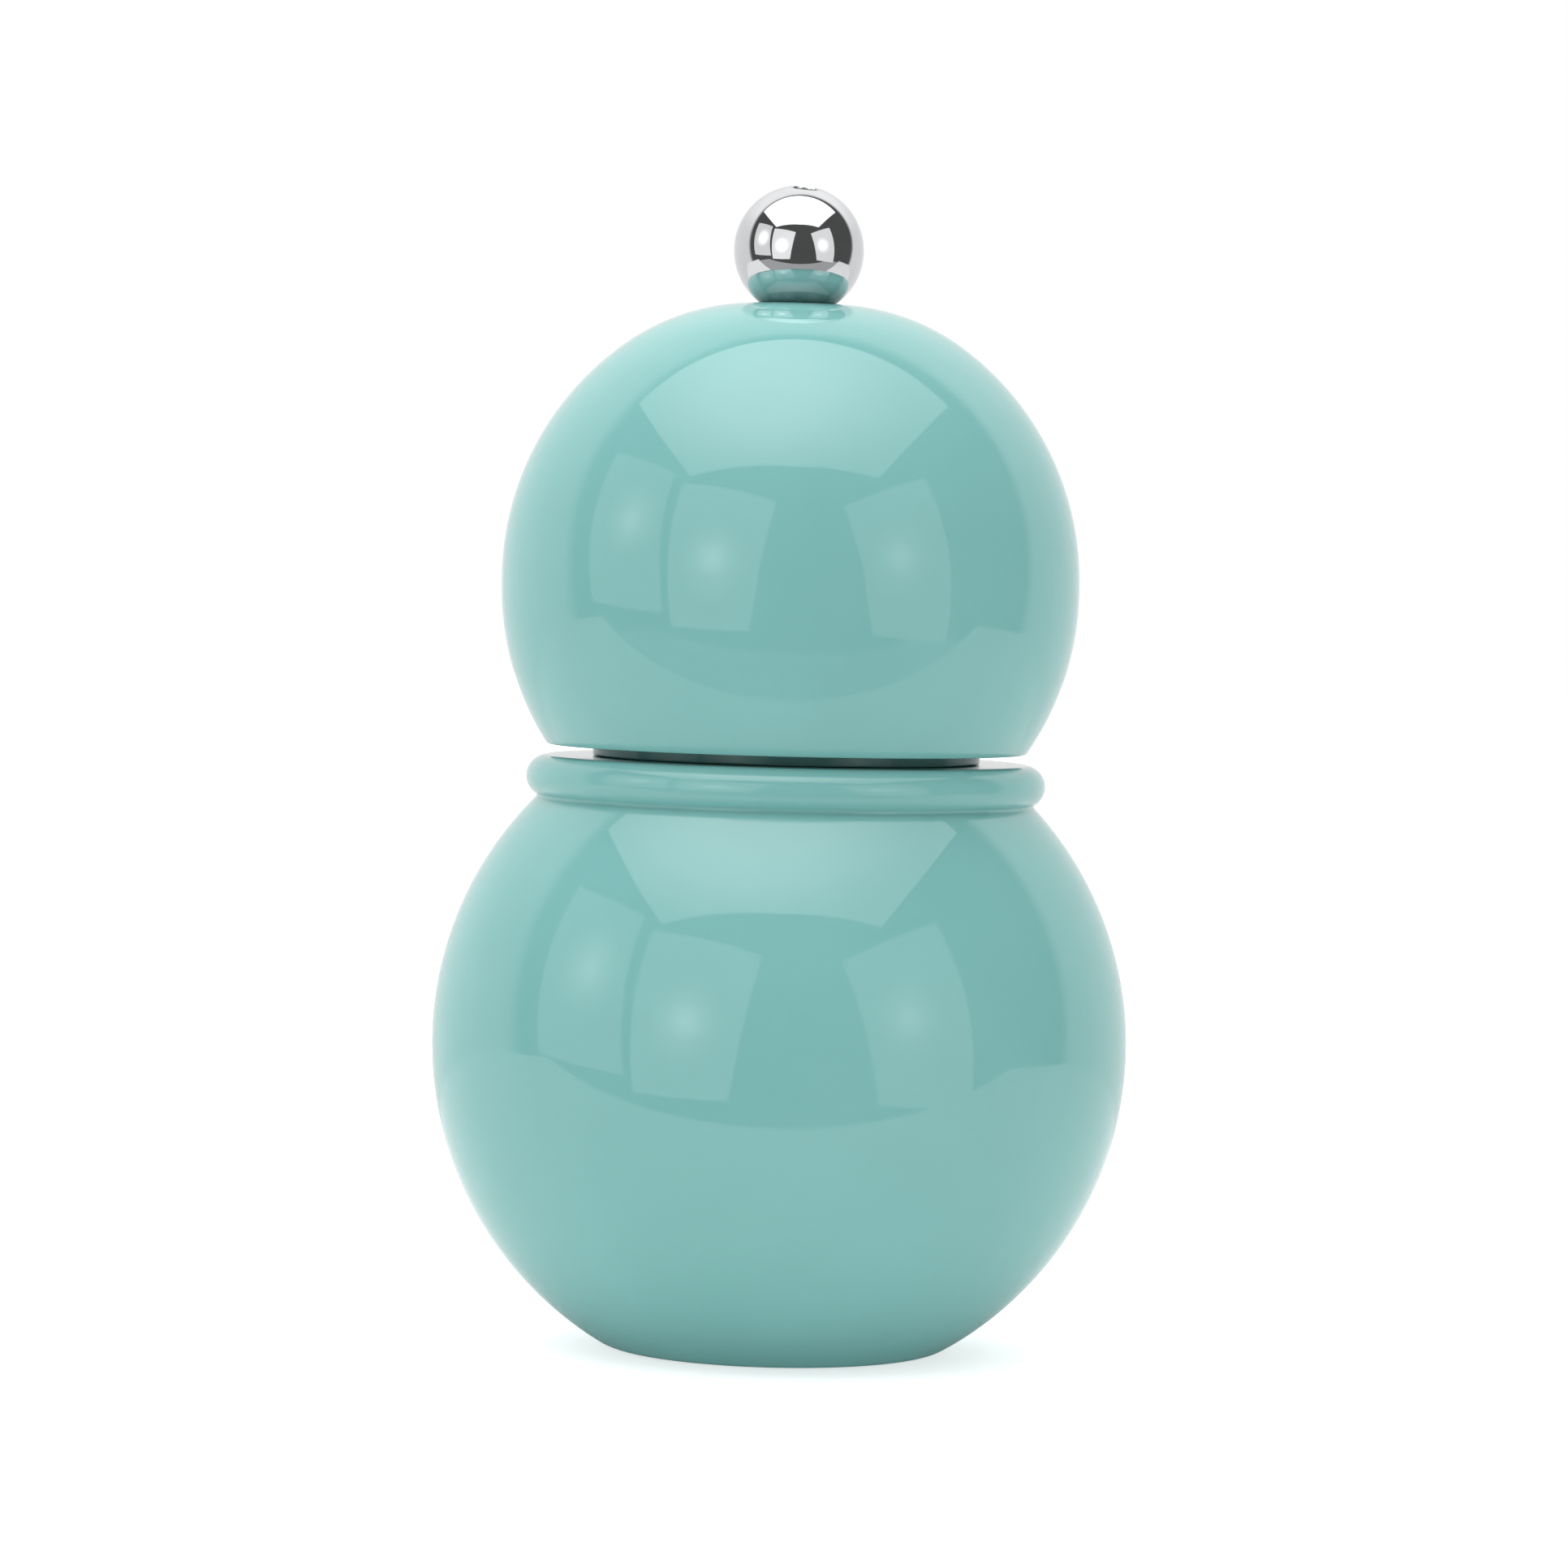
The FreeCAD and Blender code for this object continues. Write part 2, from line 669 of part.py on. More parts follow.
def make_stator_housing():
    """Nylon barrel with a screw flange below and a three-armed hub above."""
    body = new_body("stator_housing")
    corners = [
        ("dims.barrel_bore", BRIDGE_TOP),
        ("dims.flange_radius", BRIDGE_TOP),
        ("dims.flange_radius", SHELF),
        ("dims.barrel_radius", SHELF),
        ("dims.barrel_radius", "dims.barrel_top"),
        ("dims.bush_radius + dims.fit", "dims.barrel_top"),
        ("dims.bush_radius + dims.fit", WEB_BASE),
        ("dims.web_bore", WEB_BASE),
        ("dims.web_bore", "dims.stator_top"),
        ("dims.barrel_bore", "dims.stator_top"),
    ]
    turn(body, "housing_turned", corners)
    windows(
        body,
        "housing_window",
        "dims.hub_radius",
        "dims.web_bore",
        "dims.barrel_top",
        "dims.web_thickness",
    )
    hole = drill(
        body,
        "housing_hole",
        "dims.screw_circle",
        "dims.screw_radius + dims.slack",
        SHELF,
        "dims.flange_thickness",
    )
    around(body, hole, str(SCREW_COUNT))
    return body


def make_stator_ring():
    """Ceramic ring with a throat, toothed inside, that sits in the housing's barrel."""
    body = new_body("stator_ring")
    outside = "dims.barrel_bore - dims.fit"
    corners = [
        ("dims.outlet_radius", BRIDGE_TOP),
        (outside, BRIDGE_TOP),
        (outside, "dims.stator_top"),
        ("dims.stator_mouth", "dims.stator_top"),
        ("dims.throat_radius", "dims.throat_height"),
        ("dims.outlet_radius", "dims.outlet_height"),
    ]
    turn(body, "stator_turned", corners)
    tooth = new_sketch(body, "stator_tooth", "XY_Plane", "dims.stator_top")
    half_pitch = "dims.throat_radius * tan(180 / dims.stator_teeth)"
    inside = "dims.throat_radius - dims.slack"
    outline(tooth, [(inside, f"-{half_pitch}"), ("dims.stator_tooth_root", "0"), (inside, half_pitch)])
    around(body, pocket(body, tooth, f"dims.stator_top - {BRIDGE_TOP}"), "dims.stator_teeth")
    return body


def make_retaining_bridge():
    """Stamped steel plate whose three arms hold the shaft's journal under the rotor."""
    body = new_body("retaining_bridge")
    disc = new_sketch(body, "bridge_disc", "XY_Plane", "dims.bridge_base")
    circle(disc, "0", "0", "dims.flange_radius")
    circle(disc, "0", "0", "dims.journal_radius + dims.slack")
    pad(body, disc, "dims.bridge_thickness")
    windows(
        body,
        "bridge_window",
        "dims.bridge_hub",
        "dims.bridge_ring_bore",
        BRIDGE_TOP,
        "dims.bridge_thickness",
    )
    hole = drill(
        body,
        "bridge_hole",
        "dims.screw_circle",
        "dims.screw_radius + dims.slack",
        BRIDGE_TOP,
        "dims.bridge_thickness",
    )
    around(body, hole, str(SCREW_COUNT))
    return body


def make_screw(label, circle_radius, angle, head_top):
    """Wood screw with a cross-slotted pan head, pointing up. Its shank starts at head_top."""
    body = new_body(label)
    corners = [
        ("0", "-dims.screw_head_height"),
        ("dims.screw_head_radius", "-dims.screw_head_height"),
        ("dims.screw_head_radius", "0"),
        ("dims.screw_radius", "0"),
        ("dims.screw_radius", "dims.screw_length - dims.screw_point"),
        ("0", "dims.screw_length"),
    ]
    turn(body, f"{label}_turned", corners)
    fillet(body, "dims.screw_head_round", "dims.screw_head_radius", "-dims.screw_head_height")
    for name, across, along in (
        (f"{label}_slot", "dims.screw_slot_length", "dims.screw_slot_width"),
        (f"{label}_cross", "dims.screw_slot_width", "dims.screw_slot_length"),
    ):
        slot = new_sketch(body, name, "XY_Plane", "dims.screw_slot_depth - dims.screw_head_height")
        right = f"{across} / 2"
        left = f"-{across} / 2"
        back = f"{along} / 2"
        front = f"-{along} / 2"
        outline(slot, [(left, front), (right, front), (right, back), (left, back)])
        pocket(body, slot, "dims.screw_slot_depth")
    body.setExpression("Placement.Base.x", f"{circle_radius} * cos({angle})")
    body.setExpression("Placement.Base.y", f"{circle_radius} * sin({angle})")
    body.setExpression("Placement.Base.z", head_top)
    doc.recompute()
    return body


pieces = [
    make_base_body(),
    make_stator_housing(),
    make_stator_ring(),
    make_retaining_bridge(),
    make_shaft_bush(),
    make_thrust_spring(),
    make_drive_shaft(),
    make_rotor_carrier(),
    make_rotor_burr(),
    make_shaft_clip(),
    make_spring_washer(),
    make_mill_head(),
    make_driver_plate(),
    make_ball_knob(),
]
for place_number in range(SCREW_COUNT):
    turned_by = place_number * SCREW_STEP
    name = f"bridge_screw_{place_number + 1}"
    pieces.append(make_screw(name, "dims.screw_circle", turned_by, "dims.bridge_base"))
    name = f"driver_screw_{place_number + 1}"
    pieces.append(make_screw(name, "dims.plate_screw_circle", turned_by, PLATE_BASE))
doc.recompute()

failed = [item.Label for item in doc.Objects if {"Invalid", "Error"} & set(item.State)]
if failed:
    raise RuntimeError(f"failed objects: {failed}")
for piece in pieces:
    if piece.Shape.isNull() or not piece.Shape.isValid():
        raise RuntimeError(f"{piece.Label} has no valid shape")
    if len(piece.Shape.Solids) != 1:
        raise RuntimeError(f"{piece.Label} has {len(piece.Shape.Solids)} solids")

os.makedirs("parts", exist_ok=True)
for piece in pieces:
    piece.Shape.exportStep(f"parts/{piece.Label}.step")
    print(f"{piece.Label}: {piece.Shape.Volume:.1f} mm3")
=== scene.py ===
import json
import math

import bpy
import numpy as np
from mathutils import Matrix, Vector

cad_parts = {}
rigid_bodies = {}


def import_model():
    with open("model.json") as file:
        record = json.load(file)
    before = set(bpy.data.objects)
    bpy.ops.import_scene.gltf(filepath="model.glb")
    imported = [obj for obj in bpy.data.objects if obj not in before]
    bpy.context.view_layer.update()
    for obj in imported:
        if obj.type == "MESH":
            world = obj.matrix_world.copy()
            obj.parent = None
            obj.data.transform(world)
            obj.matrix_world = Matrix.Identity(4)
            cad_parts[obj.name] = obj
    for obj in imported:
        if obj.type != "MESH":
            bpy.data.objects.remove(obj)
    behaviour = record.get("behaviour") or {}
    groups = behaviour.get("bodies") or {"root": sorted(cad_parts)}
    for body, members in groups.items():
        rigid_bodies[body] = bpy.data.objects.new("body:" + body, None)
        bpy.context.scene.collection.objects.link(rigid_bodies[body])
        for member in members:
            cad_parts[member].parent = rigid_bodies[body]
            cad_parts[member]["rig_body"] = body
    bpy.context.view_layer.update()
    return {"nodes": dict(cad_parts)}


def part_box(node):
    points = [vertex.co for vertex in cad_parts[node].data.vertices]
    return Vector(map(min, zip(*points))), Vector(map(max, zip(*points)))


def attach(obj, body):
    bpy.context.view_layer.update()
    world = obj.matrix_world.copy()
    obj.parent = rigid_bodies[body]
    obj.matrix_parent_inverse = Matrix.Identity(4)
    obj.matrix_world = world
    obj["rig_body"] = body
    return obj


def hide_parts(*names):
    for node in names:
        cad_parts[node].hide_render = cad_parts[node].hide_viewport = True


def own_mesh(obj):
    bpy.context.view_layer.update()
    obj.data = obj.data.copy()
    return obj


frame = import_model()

# Lower ball: a beech blank turned on a lathe, bored through for the peppercorns and the grinder, and sprayed
# with high-gloss pale teal lacquer. The bead round its neck is turned from the same blank. The bores stay
# bare wood.

MILLIMETRE = 0.001
BODY_RADIUS = 35.0 * MILLIMETRE
BODY_CENTRE = 30.75 * MILLIMETRE
FOOT_ROUND = 4.2 * MILLIMETRE
BEAD_RING = 24.0 * MILLIMETRE
BEAD_TUBE = 2.15 * MILLIMETRE
BEAD_CENTRE = 57.25 * MILLIMETRE
GROOVE_ROUND = 0.25 * MILLIMETRE
NECK_TOP = BEAD_CENTRE + BEAD_TUBE
SOCKET_RADIUS = 17.0 * MILLIMETRE
SOCKET_FLOOR = 53.3 * MILLIMETRE
CHAMBER_RADIUS = 14.0 * MILLIMETRE
FUNNEL_LOW = 27.5 * MILLIMETRE
FUNNEL_HIGH = 30.8 * MILLIMETRE
BARREL_HOLE = 10.7 * MILLIMETRE
RECESS_RADIUS = 13.9 * MILLIMETRE
RECESS_TOP = 7.0 * MILLIMETRE
MOUTH_CHAMFER = 0.4 * MILLIMETRE
WOOD_EDGE = 0.15 * MILLIMETRE
LACQUER_DARK = (0.173, 0.406, 0.389)
LACQUER_LIGHT = (0.185, 0.426, 0.409)
LACQUER_INDEX = 1.5
WOOD_DARK = (0.36, 0.205, 0.105)
WOOD_LIGHT = (0.62, 0.42, 0.245)
GRAIN_SHARE = 0.65
FLECK_SHARE = 0.35
NOISE_RANGE = (0.3, 0.7)
EASE_SHARE = 0.4
FOOT_STEPS = 16
BODY_STEPS = 130
GROOVE_STEPS = 6
BEAD_STEPS = 40
SEGMENTS = 240
SHARP_ANGLE = math.radians(35)


def arc(centre, radius, start, end, steps):
    """Arc in the plane of radius and height: centre + radius * (cos a, sin a), with a in degrees."""
    angle = np.radians(np.linspace(start, end, steps + 1))
    return np.column_stack([centre[0] + radius * np.cos(angle), centre[1] + radius * np.sin(angle)])


def direction(start, end):
    """Angle in degrees of the way from one point of the plane to another."""
    return math.degrees(math.atan2(end[1] - start[1], end[0] - start[0]))


def meeting(first, first_radius, second, second_radius):
    """Right-hand crossing of two circles: along the line of centres to the common chord, then along that."""
    first = np.array(first)
    way = np.array(second) - first
    apart = np.linalg.norm(way)
    along = (apart**2 + first_radius**2 - second_radius**2) / (2 * apart)
    aside = math.sqrt(first_radius**2 - along**2)
    return first + (along * way + aside * np.array([way[1], -way[0]])) / apart


def rounded(corners, radius, steps=3):
    """Outline through corners, with each inner corner eased by a quadratic curve.

    The curve starts and ends radius / tan(half the corner's opening) from the corner, along its two sides.
    """
    corners = np.asarray(corners, float)
    before = corners[:-2] - corners[1:-1]
    after = corners[2:] - corners[1:-1]
    before_length = np.linalg.norm(before, axis=1, keepdims=True)
    after_length = np.linalg.norm(after, axis=1, keepdims=True)
    before = before / before_length
    after = after / after_length
    opening = np.arccos(np.clip((before * after).sum(1, keepdims=True), -1, 1))
    reach = np.minimum(radius / np.tan(opening / 2), EASE_SHARE * np.minimum(before_length, after_length))
    share = np.linspace(0, 1, steps + 1)[None, :, None]
    start = (before * reach)[:, None]
    end = (after * reach)[:, None]
    bends = corners[1:-1, None] + start * (1 - share) ** 2 + end * share**2
    return np.concatenate([corners[:1], bends.reshape(-1, 2), corners[-1:]])


def turned(profile, segments=SEGMENTS):
    """Surface of revolution: (radius * cos u, radius * sin u, height) per profile point, u once round."""
    u = np.linspace(0, 2 * np.pi, segments, endpoint=False)[None, :]
    radius = profile[:, :1]
    height = np.broadcast_to(profile[:, 1:], (len(profile), segments))
    return np.stack([radius * np.cos(u), radius * np.sin(u), height], axis=-1)


def grid_piece(name, points, materials, row_finish=None, closed=False, first_pole=False, last_pole=False):
    """Piece from a grid of points, shaped (rows, columns, 3), whose columns close round.

    closed joins the last row to the first. A pole closes an end row with one point at its middle. Faces
    point outwards where columns run anticlockwise and rows run up the outside. row_finish gives each row
    its material.
    """
    rows, columns = points.shape[:2]
    index = np.arange(rows * columns).reshape(rows, columns)
    low = index if closed else index[:-1]
    high = np.roll(index, -1, axis=0) if closed else index[1:]
    corners = [low, np.roll(low, -1, axis=1), np.roll(high, -1, axis=1), high]
    faces = np.stack(corners, axis=-1).reshape(-1, 4).tolist()
    vertices = [points.reshape(-1, 3)]
    count = rows * columns
    for wanted, row, order in ((first_pole, index[0], -1), (last_pole, index[-1], 1)):
        if wanted:
            vertices.append(vertices[0][row].mean(axis=0, keepdims=True))
            fan = np.stack([row, np.roll(row, -1), np.full(columns, count)], axis=-1)
            faces += fan[:, ::order].tolist()
            count += 1
    mesh = bpy.data.meshes.new(name)
    mesh.from_pydata(np.concatenate(vertices).tolist(), [], faces)
    for material in materials:
        mesh.materials.append(material)
    if row_finish is not None:
        mesh.polygons.foreach_set("material_index", np.repeat(row_finish, columns).astype(np.int32))
    mesh.shade_smooth()
    mesh.set_sharp_from_angle(angle=SHARP_ANGLE)
    mesh.update()
    piece = bpy.data.objects.new(name, mesh)
    bpy.context.scene.collection.objects.link(piece)
    return piece


def stand_for(piece, node):
    """The piece moves with the body of a CAD node and is shown in its place."""
    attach(piece, frame["nodes"][node]["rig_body"])
    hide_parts(node)


def new_material(name):
    """Material, its node tree and the Principled shader that it ends in."""
    material = bpy.data.materials.new(name)
    material.use_nodes = True
    tree = material.node_tree
    shader = next(node for node in tree.nodes if node.type == "BSDF_PRINCIPLED")
    return material, tree, shader


def add_node(tree, kind, properties=None, **sockets):
    """Node of a kind, with its properties, and its input sockets by name with _ for a space."""
    node = tree.nodes.new(kind)
    for key, value in (properties or {}).items():
        setattr(node, key, value)
    for key, value in sockets.items():
        node.inputs[key.replace("_", " ")].default_value = value
    return node


def new_group(name, inputs, outputs):
    """Shader node group with named float and vector sockets, and its two end nodes."""
    group = bpy.data.node_groups.new(name, "ShaderNodeTree")
    for socket, kind, default in inputs:
        made = group.interface.new_socket(socket, in_out="INPUT", socket_type=kind)
        made.default_value = default
    for socket in outputs:
        group.interface.new_socket(socket, in_out="OUTPUT", socket_type="NodeSocketFloat")
    return group, group.nodes.new("NodeGroupInput"), group.nodes.new("NodeGroupOutput")


def make_surface_drift():
    """Unevenness of a finish: a slow noise, eased to run from 0 to 1, and a fine noise for a bump."""
    inputs = [
        ("Slow Scale", "NodeSocketFloat", 100.0),
        ("Fine Scale", "NodeSocketFloat", 900.0),
        ("Stretch", "NodeSocketVector", (1.0, 1.0, 1.0)),
    ]
    group, start, end = new_group("surface_drift", inputs, ["Drift", "Height"])
    place = add_node(group, "ShaderNodeTexCoord")
    stretched = add_node(group, "ShaderNodeVectorMath", {"operation": "MULTIPLY"})
    slow = add_node(group, "ShaderNodeTexNoise", Detail=3.0, Roughness=0.55)
    fine = add_node(group, "ShaderNodeTexNoise", Detail=2.0, Roughness=0.5)
    eased = add_node(
        group,
        "ShaderNodeMapRange",
        {"interpolation_type": "SMOOTHSTEP"},
        From_Min=NOISE_RANGE[0],
        From_Max=NOISE_RANGE[1],
    )
    link = group.links.new
    link(place.outputs["Object"], stretched.inputs[0])
    link(start.outputs["Stretch"], stretched.inputs[1])
    link(stretched.outputs[0], slow.inputs["Vector"])
    link(stretched.outputs[0], fine.inputs["Vector"])
    link(start.outputs["Slow Scale"], slow.inputs["Scale"])
    link(start.outputs["Fine Scale"], fine.inputs["Scale"])
    link(slow.outputs["Fac"], eased.inputs["Value"])
    link(eased.outputs["Result"], end.inputs["Drift"])
    link(fine.outputs["Fac"], end.inputs["Height"])
    return group


surface_drift = make_surface_drift()


def add_drift(tree, slow_scale, fine_scale, stretch=(1.0, 1.0, 1.0)):
    """The surface drift group, placed in a material with its own scales per metre."""
    node = add_node(tree, "ShaderNodeGroup", {"node_tree": surface_drift})
    node.inputs["Slow Scale"].default_value = slow_scale
    node.inputs["Fine Scale"].default_value = fine_scale
    node.inputs["Stretch"].default_value = stretch
    return node


def drive_colour(tree, shader, value, dark, light):
    """Base colour that runs from dark to light with a value."""
    ramp = add_node(tree, "ShaderNodeValToRGB")
    ramp.color_ramp.elements[0].color = (*dark, 1)
    ramp.color_ramp.elements[1].color = (*light, 1)
    tree.links.new(value, ramp.inputs["Fac"])
    tree.links.new(ramp.outputs["Color"], shader.inputs["Base Color"])


def drive_roughness(tree, shader, value, low, high):
    """Roughness that runs from low, where a value is 0, to high, where it is 1."""
    limits = add_node(tree, "ShaderNodeMapRange", To_Min=low, To_Max=high)
    tree.links.new(value, limits.inputs["Value"])
    tree.links.new(limits.outputs["Result"], shader.inputs["Roughness"])


def drive_bump(tree, shader, height, depth, strength=1.0):
    """Bump of a depth in metres from a height that runs from 0 to 1."""
    bump = add_node(tree, "ShaderNodeBump", Strength=strength, Distance=depth)
    tree.links.new(height, bump.inputs["Height"])
    tree.links.new(bump.outputs["Normal"], shader.inputs["Normal"])


def make_lacquer():
    """Gloss lacquer: even colour that drifts a little, and the faint orange peel of a sprayed coat."""
    material, tree, shader = new_material("teal_lacquer")
    drift = add_drift(tree, slow_scale=35.0, fine_scale=420.0)
    drive_colour(tree, shader, drift.outputs["Drift"], LACQUER_DARK, LACQUER_LIGHT)
    drive_roughness(tree, shader, drift.outputs["Drift"], low=0.03, high=0.06)
    drive_bump(tree, shader, drift.outputs["Height"], depth=0.003 * MILLIMETRE)
    shader.inputs["IOR"].default_value = LACQUER_INDEX
    return material


def make_bare_wood():
    """Bare beech: grain that runs with the axis, short darker flecks, and a finely fuzzy bored surface."""
    material, tree, shader = new_material("bare_beech")
    drift = add_drift(tree, slow_scale=420.0, fine_scale=2600.0, stretch=(1.0, 1.0, 0.06))
    flecks = add_drift(tree, slow_scale=1500.0, fine_scale=900.0, stretch=(1.0, 1.0, 0.22))
    both = add_node(tree, "ShaderNodeMath", {"operation": "MULTIPLY_ADD"})
    both.inputs[1].default_value = FLECK_SHARE
    tree.links.new(flecks.outputs["Drift"], both.inputs[0])
    scaled = add_node(tree, "ShaderNodeMath", {"operation": "MULTIPLY"})
    scaled.inputs[1].default_value = GRAIN_SHARE
    tree.links.new(drift.outputs["Drift"], scaled.inputs[0])
    tree.links.new(scaled.outputs[0], both.inputs[2])
    drive_colour(tree, shader, both.outputs[0], WOOD_DARK, WOOD_LIGHT)
    drive_roughness(tree, shader, both.outputs[0], low=0.72, high=0.55)
    drive_bump(tree, shader, drift.outputs["Height"], depth=0.08 * MILLIMETRE, strength=0.6)
    return material


lacquer = make_lacquer()
bare_wood = make_bare_wood()

ball_middle = (0.0, BODY_CENTRE)
bead_middle = (BEAD_RING, BEAD_CENTRE)
foot_reach = math.sqrt((BODY_RADIUS - FOOT_ROUND) ** 2 - (BODY_CENTRE - FOOT_ROUND) ** 2)
foot_middle = (foot_reach, FOOT_ROUND)
groove_middle = meeting(ball_middle, BODY_RADIUS + GROOVE_ROUND, bead_middle, BEAD_TUBE + GROOVE_ROUND)
foot_turn = direction(ball_middle, foot_middle)
body_outside = np.concatenate([
    [(RECESS_RADIUS + MOUTH_CHAMFER, 0.0)],
    arc(foot_middle, FOOT_ROUND, -90, foot_turn, FOOT_STEPS),
    arc(ball_middle, BODY_RADIUS, foot_turn, direction(ball_middle, groove_middle), BODY_STEPS)[1:],
    arc(
        groove_middle,
        GROOVE_ROUND,
        direction(groove_middle, ball_middle) % 360,
        direction(groove_middle, bead_middle) % 360,
        GROOVE_STEPS,
    )[1:],
    arc(bead_middle, BEAD_TUBE, direction(bead_middle, groove_middle), 90, BEAD_STEPS)[1:],
    [(SOCKET_RADIUS + MOUTH_CHAMFER, NECK_TOP)],
])
body_inside = rounded([
    (SOCKET_RADIUS + MOUTH_CHAMFER, NECK_TOP),
    (SOCKET_RADIUS, NECK_TOP - MOUTH_CHAMFER),
    (SOCKET_RADIUS, SOCKET_FLOOR),
    (CHAMBER_RADIUS, SOCKET_FLOOR),
    (CHAMBER_RADIUS, FUNNEL_HIGH),
    (BARREL_HOLE, FUNNEL_LOW),
    (BARREL_HOLE, RECESS_TOP),
    (RECESS_RADIUS, RECESS_TOP),
    (RECESS_RADIUS, MOUTH_CHAMFER),
    (RECESS_RADIUS + MOUTH_CHAMFER, 0.0),
], WOOD_EDGE)
body_profile = np.concatenate([body_outside, body_inside[1:-1]])
body_rows = np.arange(len(body_profile)) >= len(body_outside) - 1
body_piece = grid_piece("turned_body", turned(body_profile), [lacquer, bare_wood], body_rows, closed=True)
stand_for(body_piece, "base_body")

# Stator housing: a barrel moulded in black nylon, with a screw flange below and a three-armed hub above. It
# is pushed up into the foot and holds the fixed half of the grinder.

NYLON_BLACK = ((0.016, 0.016, 0.017), (0.035, 0.035, 0.037))


def dress_node(node, material):
    """A CAD node keeps its own shape and takes a material of this scene."""
    mesh = frame["nodes"][node].data
    mesh.materials.clear()
    mesh.materials.append(material)


def make_nylon(name, colours, rough):
    """Moulded nylon: colour that drifts a little, and the fine matt texture of the mould."""
    material, tree, shader = new_material(name)
    drift = add_drift(tree, slow_scale=260.0, fine_scale=5200.0)
    drive_colour(tree, shader, drift.outputs["Drift"], *colours)
    drive_roughness(tree, shader, drift.outputs["Drift"], *rough)
    drive_bump(tree, shader, drift.outputs["Height"], depth=0.03 * MILLIMETRE, strength=0.5)
    return material


dress_node("stator_housing", make_nylon("black_nylon", NYLON_BLACK, rough=(0.42, 0.58)))

# Grinding burrs: fired ceramic, pressed and sintered. The toothed ring sits still in the housing, and the
# fluted cone turns in it. Both are a warm white, a little stained by pepper oil in patches.

CERAMIC = ((0.70, 0.675, 0.61), (0.86, 0.85, 0.81))


def make_ceramic():
    """Unglazed ceramic: off-white with faint stains and a dry, slightly grainy surface."""
    material, tree, shader = new_material("burr_ceramic")
    drift = add_drift(tree, slow_scale=520.0, fine_scale=7000.0)
    drive_colour(tree, shader, drift.outputs["Drift"], *CERAMIC)
    drive_roughness(tree, shader, drift.outputs["Drift"], low=0.62, high=0.42)
    drive_bump(tree, shader, drift.outputs["Height"], depth=0.02 * MILLIMETRE, strength=0.5)
    return material


ceramic = make_ceramic()
dress_node("stator_ring", ceramic)
dress_node("rotor_burr", ceramic)

# Drive shaft: drawn square aluminium rod, turned round below for the clip and the bridge, and above for the
# thread of the ball nut. The square part turns the rotor, and slides through the driver plate.

SHAFT_WIDTH = 4.5 * MILLIMETRE
SHAFT_CORNER = 0.3 * MILLIMETRE
SQUARE_TOP = 70.0 * MILLIMETRE
JOURNAL_RADIUS = 2.2 * MILLIMETRE
GROOVE_RADIUS = 1.7 * MILLIMETRE
THREAD_RADIUS = 2.0 * MILLIMETRE
THREAD_PITCH = 0.7 * MILLIMETRE
THREAD_DEPTH = 0.38 * MILLIMETRE
THREAD_ROWS = 700
FLANK_SLOPE = 1.25
FLANK_START = 0.125
SHAFT_TIP = 0.6 * MILLIMETRE
SHAFT_CAP = 0.2 * MILLIMETRE
SHAFT_SEGMENTS = 64
ALUMINIUM = ((0.66, 0.66, 0.67), (0.80, 0.80, 0.81))


def square_ring(segments):
    """Radius of a square bar with broken corners at each angle: the nearest of its sides and corner flats."""
    u = np.linspace(0, 2 * np.pi, segments, endpoint=False)
    side = SHAFT_WIDTH / 2 / np.maximum(abs(np.cos(u)), abs(np.sin(u)))
    corner_reach = (SHAFT_WIDTH - SHAFT_CORNER) / math.sqrt(2)
    off_corner = np.mod(u, np.pi / 2) - np.pi / 4
    return np.minimum(side, corner_reach / np.cos(off_corner))


def screw_thread(height, segments, crest, depth, pitch):
    """Radius of a right-hand thread by height and angle: a V with flats that climbs one pitch each turn."""
    u = np.linspace(0, 1, segments, endpoint=False)[None, :]
    phase = np.mod(height[:, None] / pitch - u, 1.0)
    wedge = abs(2 * phase - 1)
    return crest - depth * np.clip(FLANK_SLOPE * wedge - FLANK_START, 0, 1)


def ring_stack(radius, height):
    """Grid of rings about the axis: (radius * cos u, radius * sin u, height), radius by row and angle."""
    u = np.linspace(0, 2 * np.pi, radius.shape[1], endpoint=False)[None, :]
    level = np.broadcast_to(height[:, None], radius.shape)
    return np.stack([radius * np.cos(u), radius * np.sin(u), level], axis=-1)


def make_metal(name, colours, rough, slow_scale, fine_scale, stretch, depth):
    """Worked metal: tone and roughness that drift, and fine lines drawn out along the way it was worked."""
    material, tree, shader = new_material(name)
    drift = add_drift(tree, slow_scale, fine_scale, stretch)
    drive_colour(tree, shader, drift.outputs["Drift"], *colours)
    drive_roughness(tree, shader, drift.outputs["Height"], *rough)
    drive_bump(tree, shader, drift.outputs["Height"], depth, strength=0.5)
    shader.inputs["Metallic"].default_value = 1.0
    return material


shaft_low, shaft_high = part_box("drive_shaft")
clip_low, clip_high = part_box("shaft_clip")
thread_heights = np.linspace(SQUARE_TOP, shaft_high.z - SHAFT_TIP, THREAD_ROWS)
thread_radii = screw_thread(thread_heights, SHAFT_SEGMENTS, THREAD_RADIUS, THREAD_DEPTH, THREAD_PITCH)
thread_fade = np.clip((thread_heights - SQUARE_TOP) / THREAD_PITCH - 1, 0, 1)[:, None]
thread_radii = THREAD_RADIUS + (thread_radii - THREAD_RADIUS) * thread_fade


def round_ring(radius):
    """The same radius at every angle of the shaft."""
    return np.full(SHAFT_SEGMENTS, radius)


